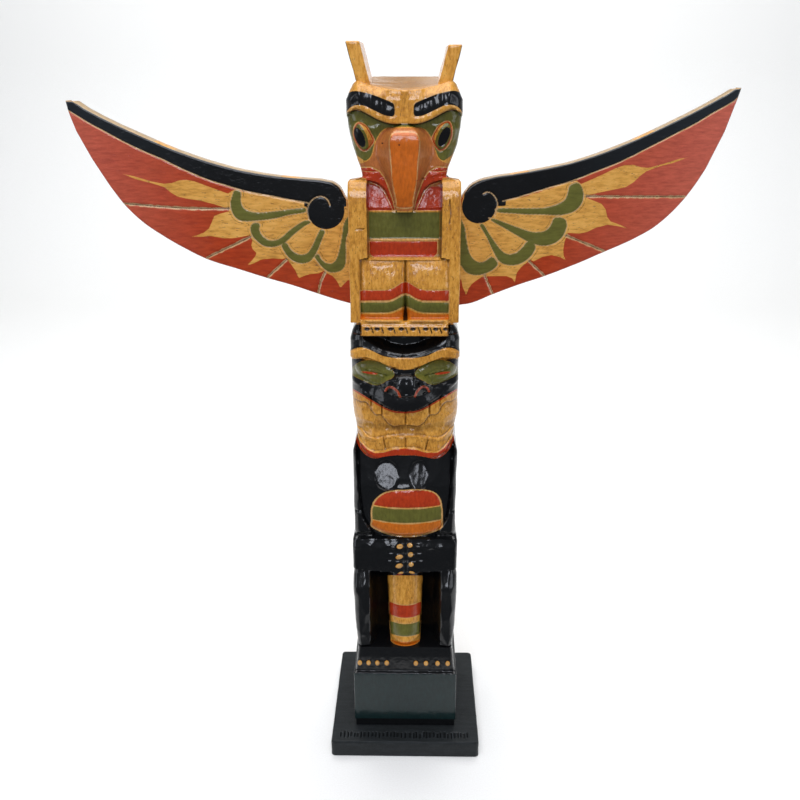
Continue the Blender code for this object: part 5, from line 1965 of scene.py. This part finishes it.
@dataclass(frozen=True)
class Studio:
    """Floor, lights and camera around the object."""

    eye: tuple[float, float, float] = (0.0080, -0.5938, 0.4860)
    down_degrees: float = 20.45
    turn_degrees: float = 1.14
    roll_degrees: float = -0.2
    lens_mm: float = 40.5
    lights: tuple[Softbox, ...] = (
        Softbox("overhead", (-0.1, -0.7, 1.75), 1.3, 19.0, "#FBFBFF"),
        Softbox("front window", (-0.1, -1.85, 1.05), 0.6, 10.0, "#EEF3FF"),
        Softbox("side right", (1.9, -1.1, 0.4), 0.9, 6.0, "#F2F6FF"),
        Softbox("side left", (-1.9, -1.0, 0.45), 0.9, 6.0, "#F2F6FF"),
        Softbox("backdrop", (0.0, 0.75, 1.9), 1.6, 32.0, aim=(0.0, 1.0, 0.0)),
    )

    def floor(self) -> bpy.types.Object:
        """A pale paper sweep that hangs over the table's edge, lies under the object and rises behind it.

        Returns:
            The paper.
        """
        edge, fold, drop = -0.118, 0.03, 0.9
        bend, reach, rise = 0.5, 1.3, 0.75
        turns = [math.pi / 2 * i / 16 for i in range(17)]
        profile = [(edge - fold, -drop)]
        profile += [(edge - fold * math.cos(a), -fold * (1 - math.sin(a))) for a in turns]
        profile += [(edge + 0.001, 0.0), (0.4, 0.0)]
        profile += [(reach + bend * math.sin(a), bend * (1 - math.cos(a))) for a in turns]
        profile.append((reach + bend, rise))
        spots = np.array([(x, y, z) for y, z in profile for x in (-3.0, -1.0, 1.0, 3.0)]) / MM
        numbers = np.arange(len(spots)).reshape(-1, 4)
        made = make_mesh("paper_sweep", spots, grid_faces(numbers))
        made.data.shade_smooth()
        tree = Tree("Matt white studio paper")
        place = tree.add("TexCoord").outputs["Object"]
        fibre = tree.noise(place, 900.0, 3.0)
        tone = tree.blend(tree.share(fibre, 0.3, 0.7), linear("#F3F2EF"), linear("#FAFAF8"))
        shader = tree.add("BsdfPrincipled", {"Base Color": tone, "Roughness": 0.9, "Specular IOR Level": 0.1})
        tree.add("OutputMaterial", {"Surface": shader})
        made.data.materials.append(tree.material)
        return made

    def camera(self) -> None:
        """Stand the camera where the photograph was taken from."""
        lens = bpy.data.cameras.new("camera")
        lens.lens, lens.sensor_width, lens.clip_start = self.lens_mm, 36.0, 0.01
        held = bpy.data.objects.new("camera", lens)
        bpy.context.collection.objects.link(held)
        turn = Matrix.Rotation(math.radians(self.turn_degrees), 4, "Z")
        tilt = Matrix.Rotation(math.radians(90.0 - self.down_degrees), 4, "X")
        roll = Matrix.Rotation(math.radians(self.roll_degrees), 4, "Z")
        held.matrix_world = Matrix.Translation(self.eye) @ turn @ tilt @ roll
        bpy.context.scene.camera = held

    def air(self) -> None:
        """Dim even light from all round, and plain colours on the picture."""
        world = bpy.data.worlds.new("studio")
        world.use_nodes = True
        back = world.node_tree.nodes["Background"]
        back.inputs["Color"].default_value = linear("#DCE4EE")
        back.inputs["Strength"].default_value = 0.2
        scene = bpy.context.scene
        scene.world = world
        scene.view_settings.view_transform = "Standard"
        scene.view_settings.look = "None"

    def set_up(self) -> None:
        """Build the whole studio."""
        self.floor()
        for light in self.lights:
            light.hang()
        self.camera()
        self.air()


def totem() -> list[tuple[Piece, Finish]]:
    """Every piece of the object with its finish.

    Returns:
        Pairs of a piece and its finish.
    """
    return [
        (Plate("base_plate_worn", Node.PLATE, Slot.PLATE), PLATE_FINISH),
        (Post("post_carved", Node.POLE, Slot.POLE), POST_FINISH),
        (Wing("wing_left_board", Node.WING_LEFT, Slot.WING), WING_FINISH),
        (Wing("wing_right_board", Node.WING_RIGHT, Slot.WING, side=Side.RIGHT, drawing=RIGHT_WING,
              sweep_degrees=4.8, sheen_and_fade_ramp=(0.12, 0.9)), WING_FINISH),
    ]


def main() -> None:
    """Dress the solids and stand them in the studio."""
    logging.basicConfig(level=logging.INFO, format="%(name)s %(message)s")
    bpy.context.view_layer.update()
    made: dict[str, bpy.types.Material] = {}
    for piece, finish in totem():
        if finish.name not in made:
            made[finish.name] = finish.material()
        piece.build(made[finish.name])
    Studio().set_up()


if __name__ == "__main__":
    main()
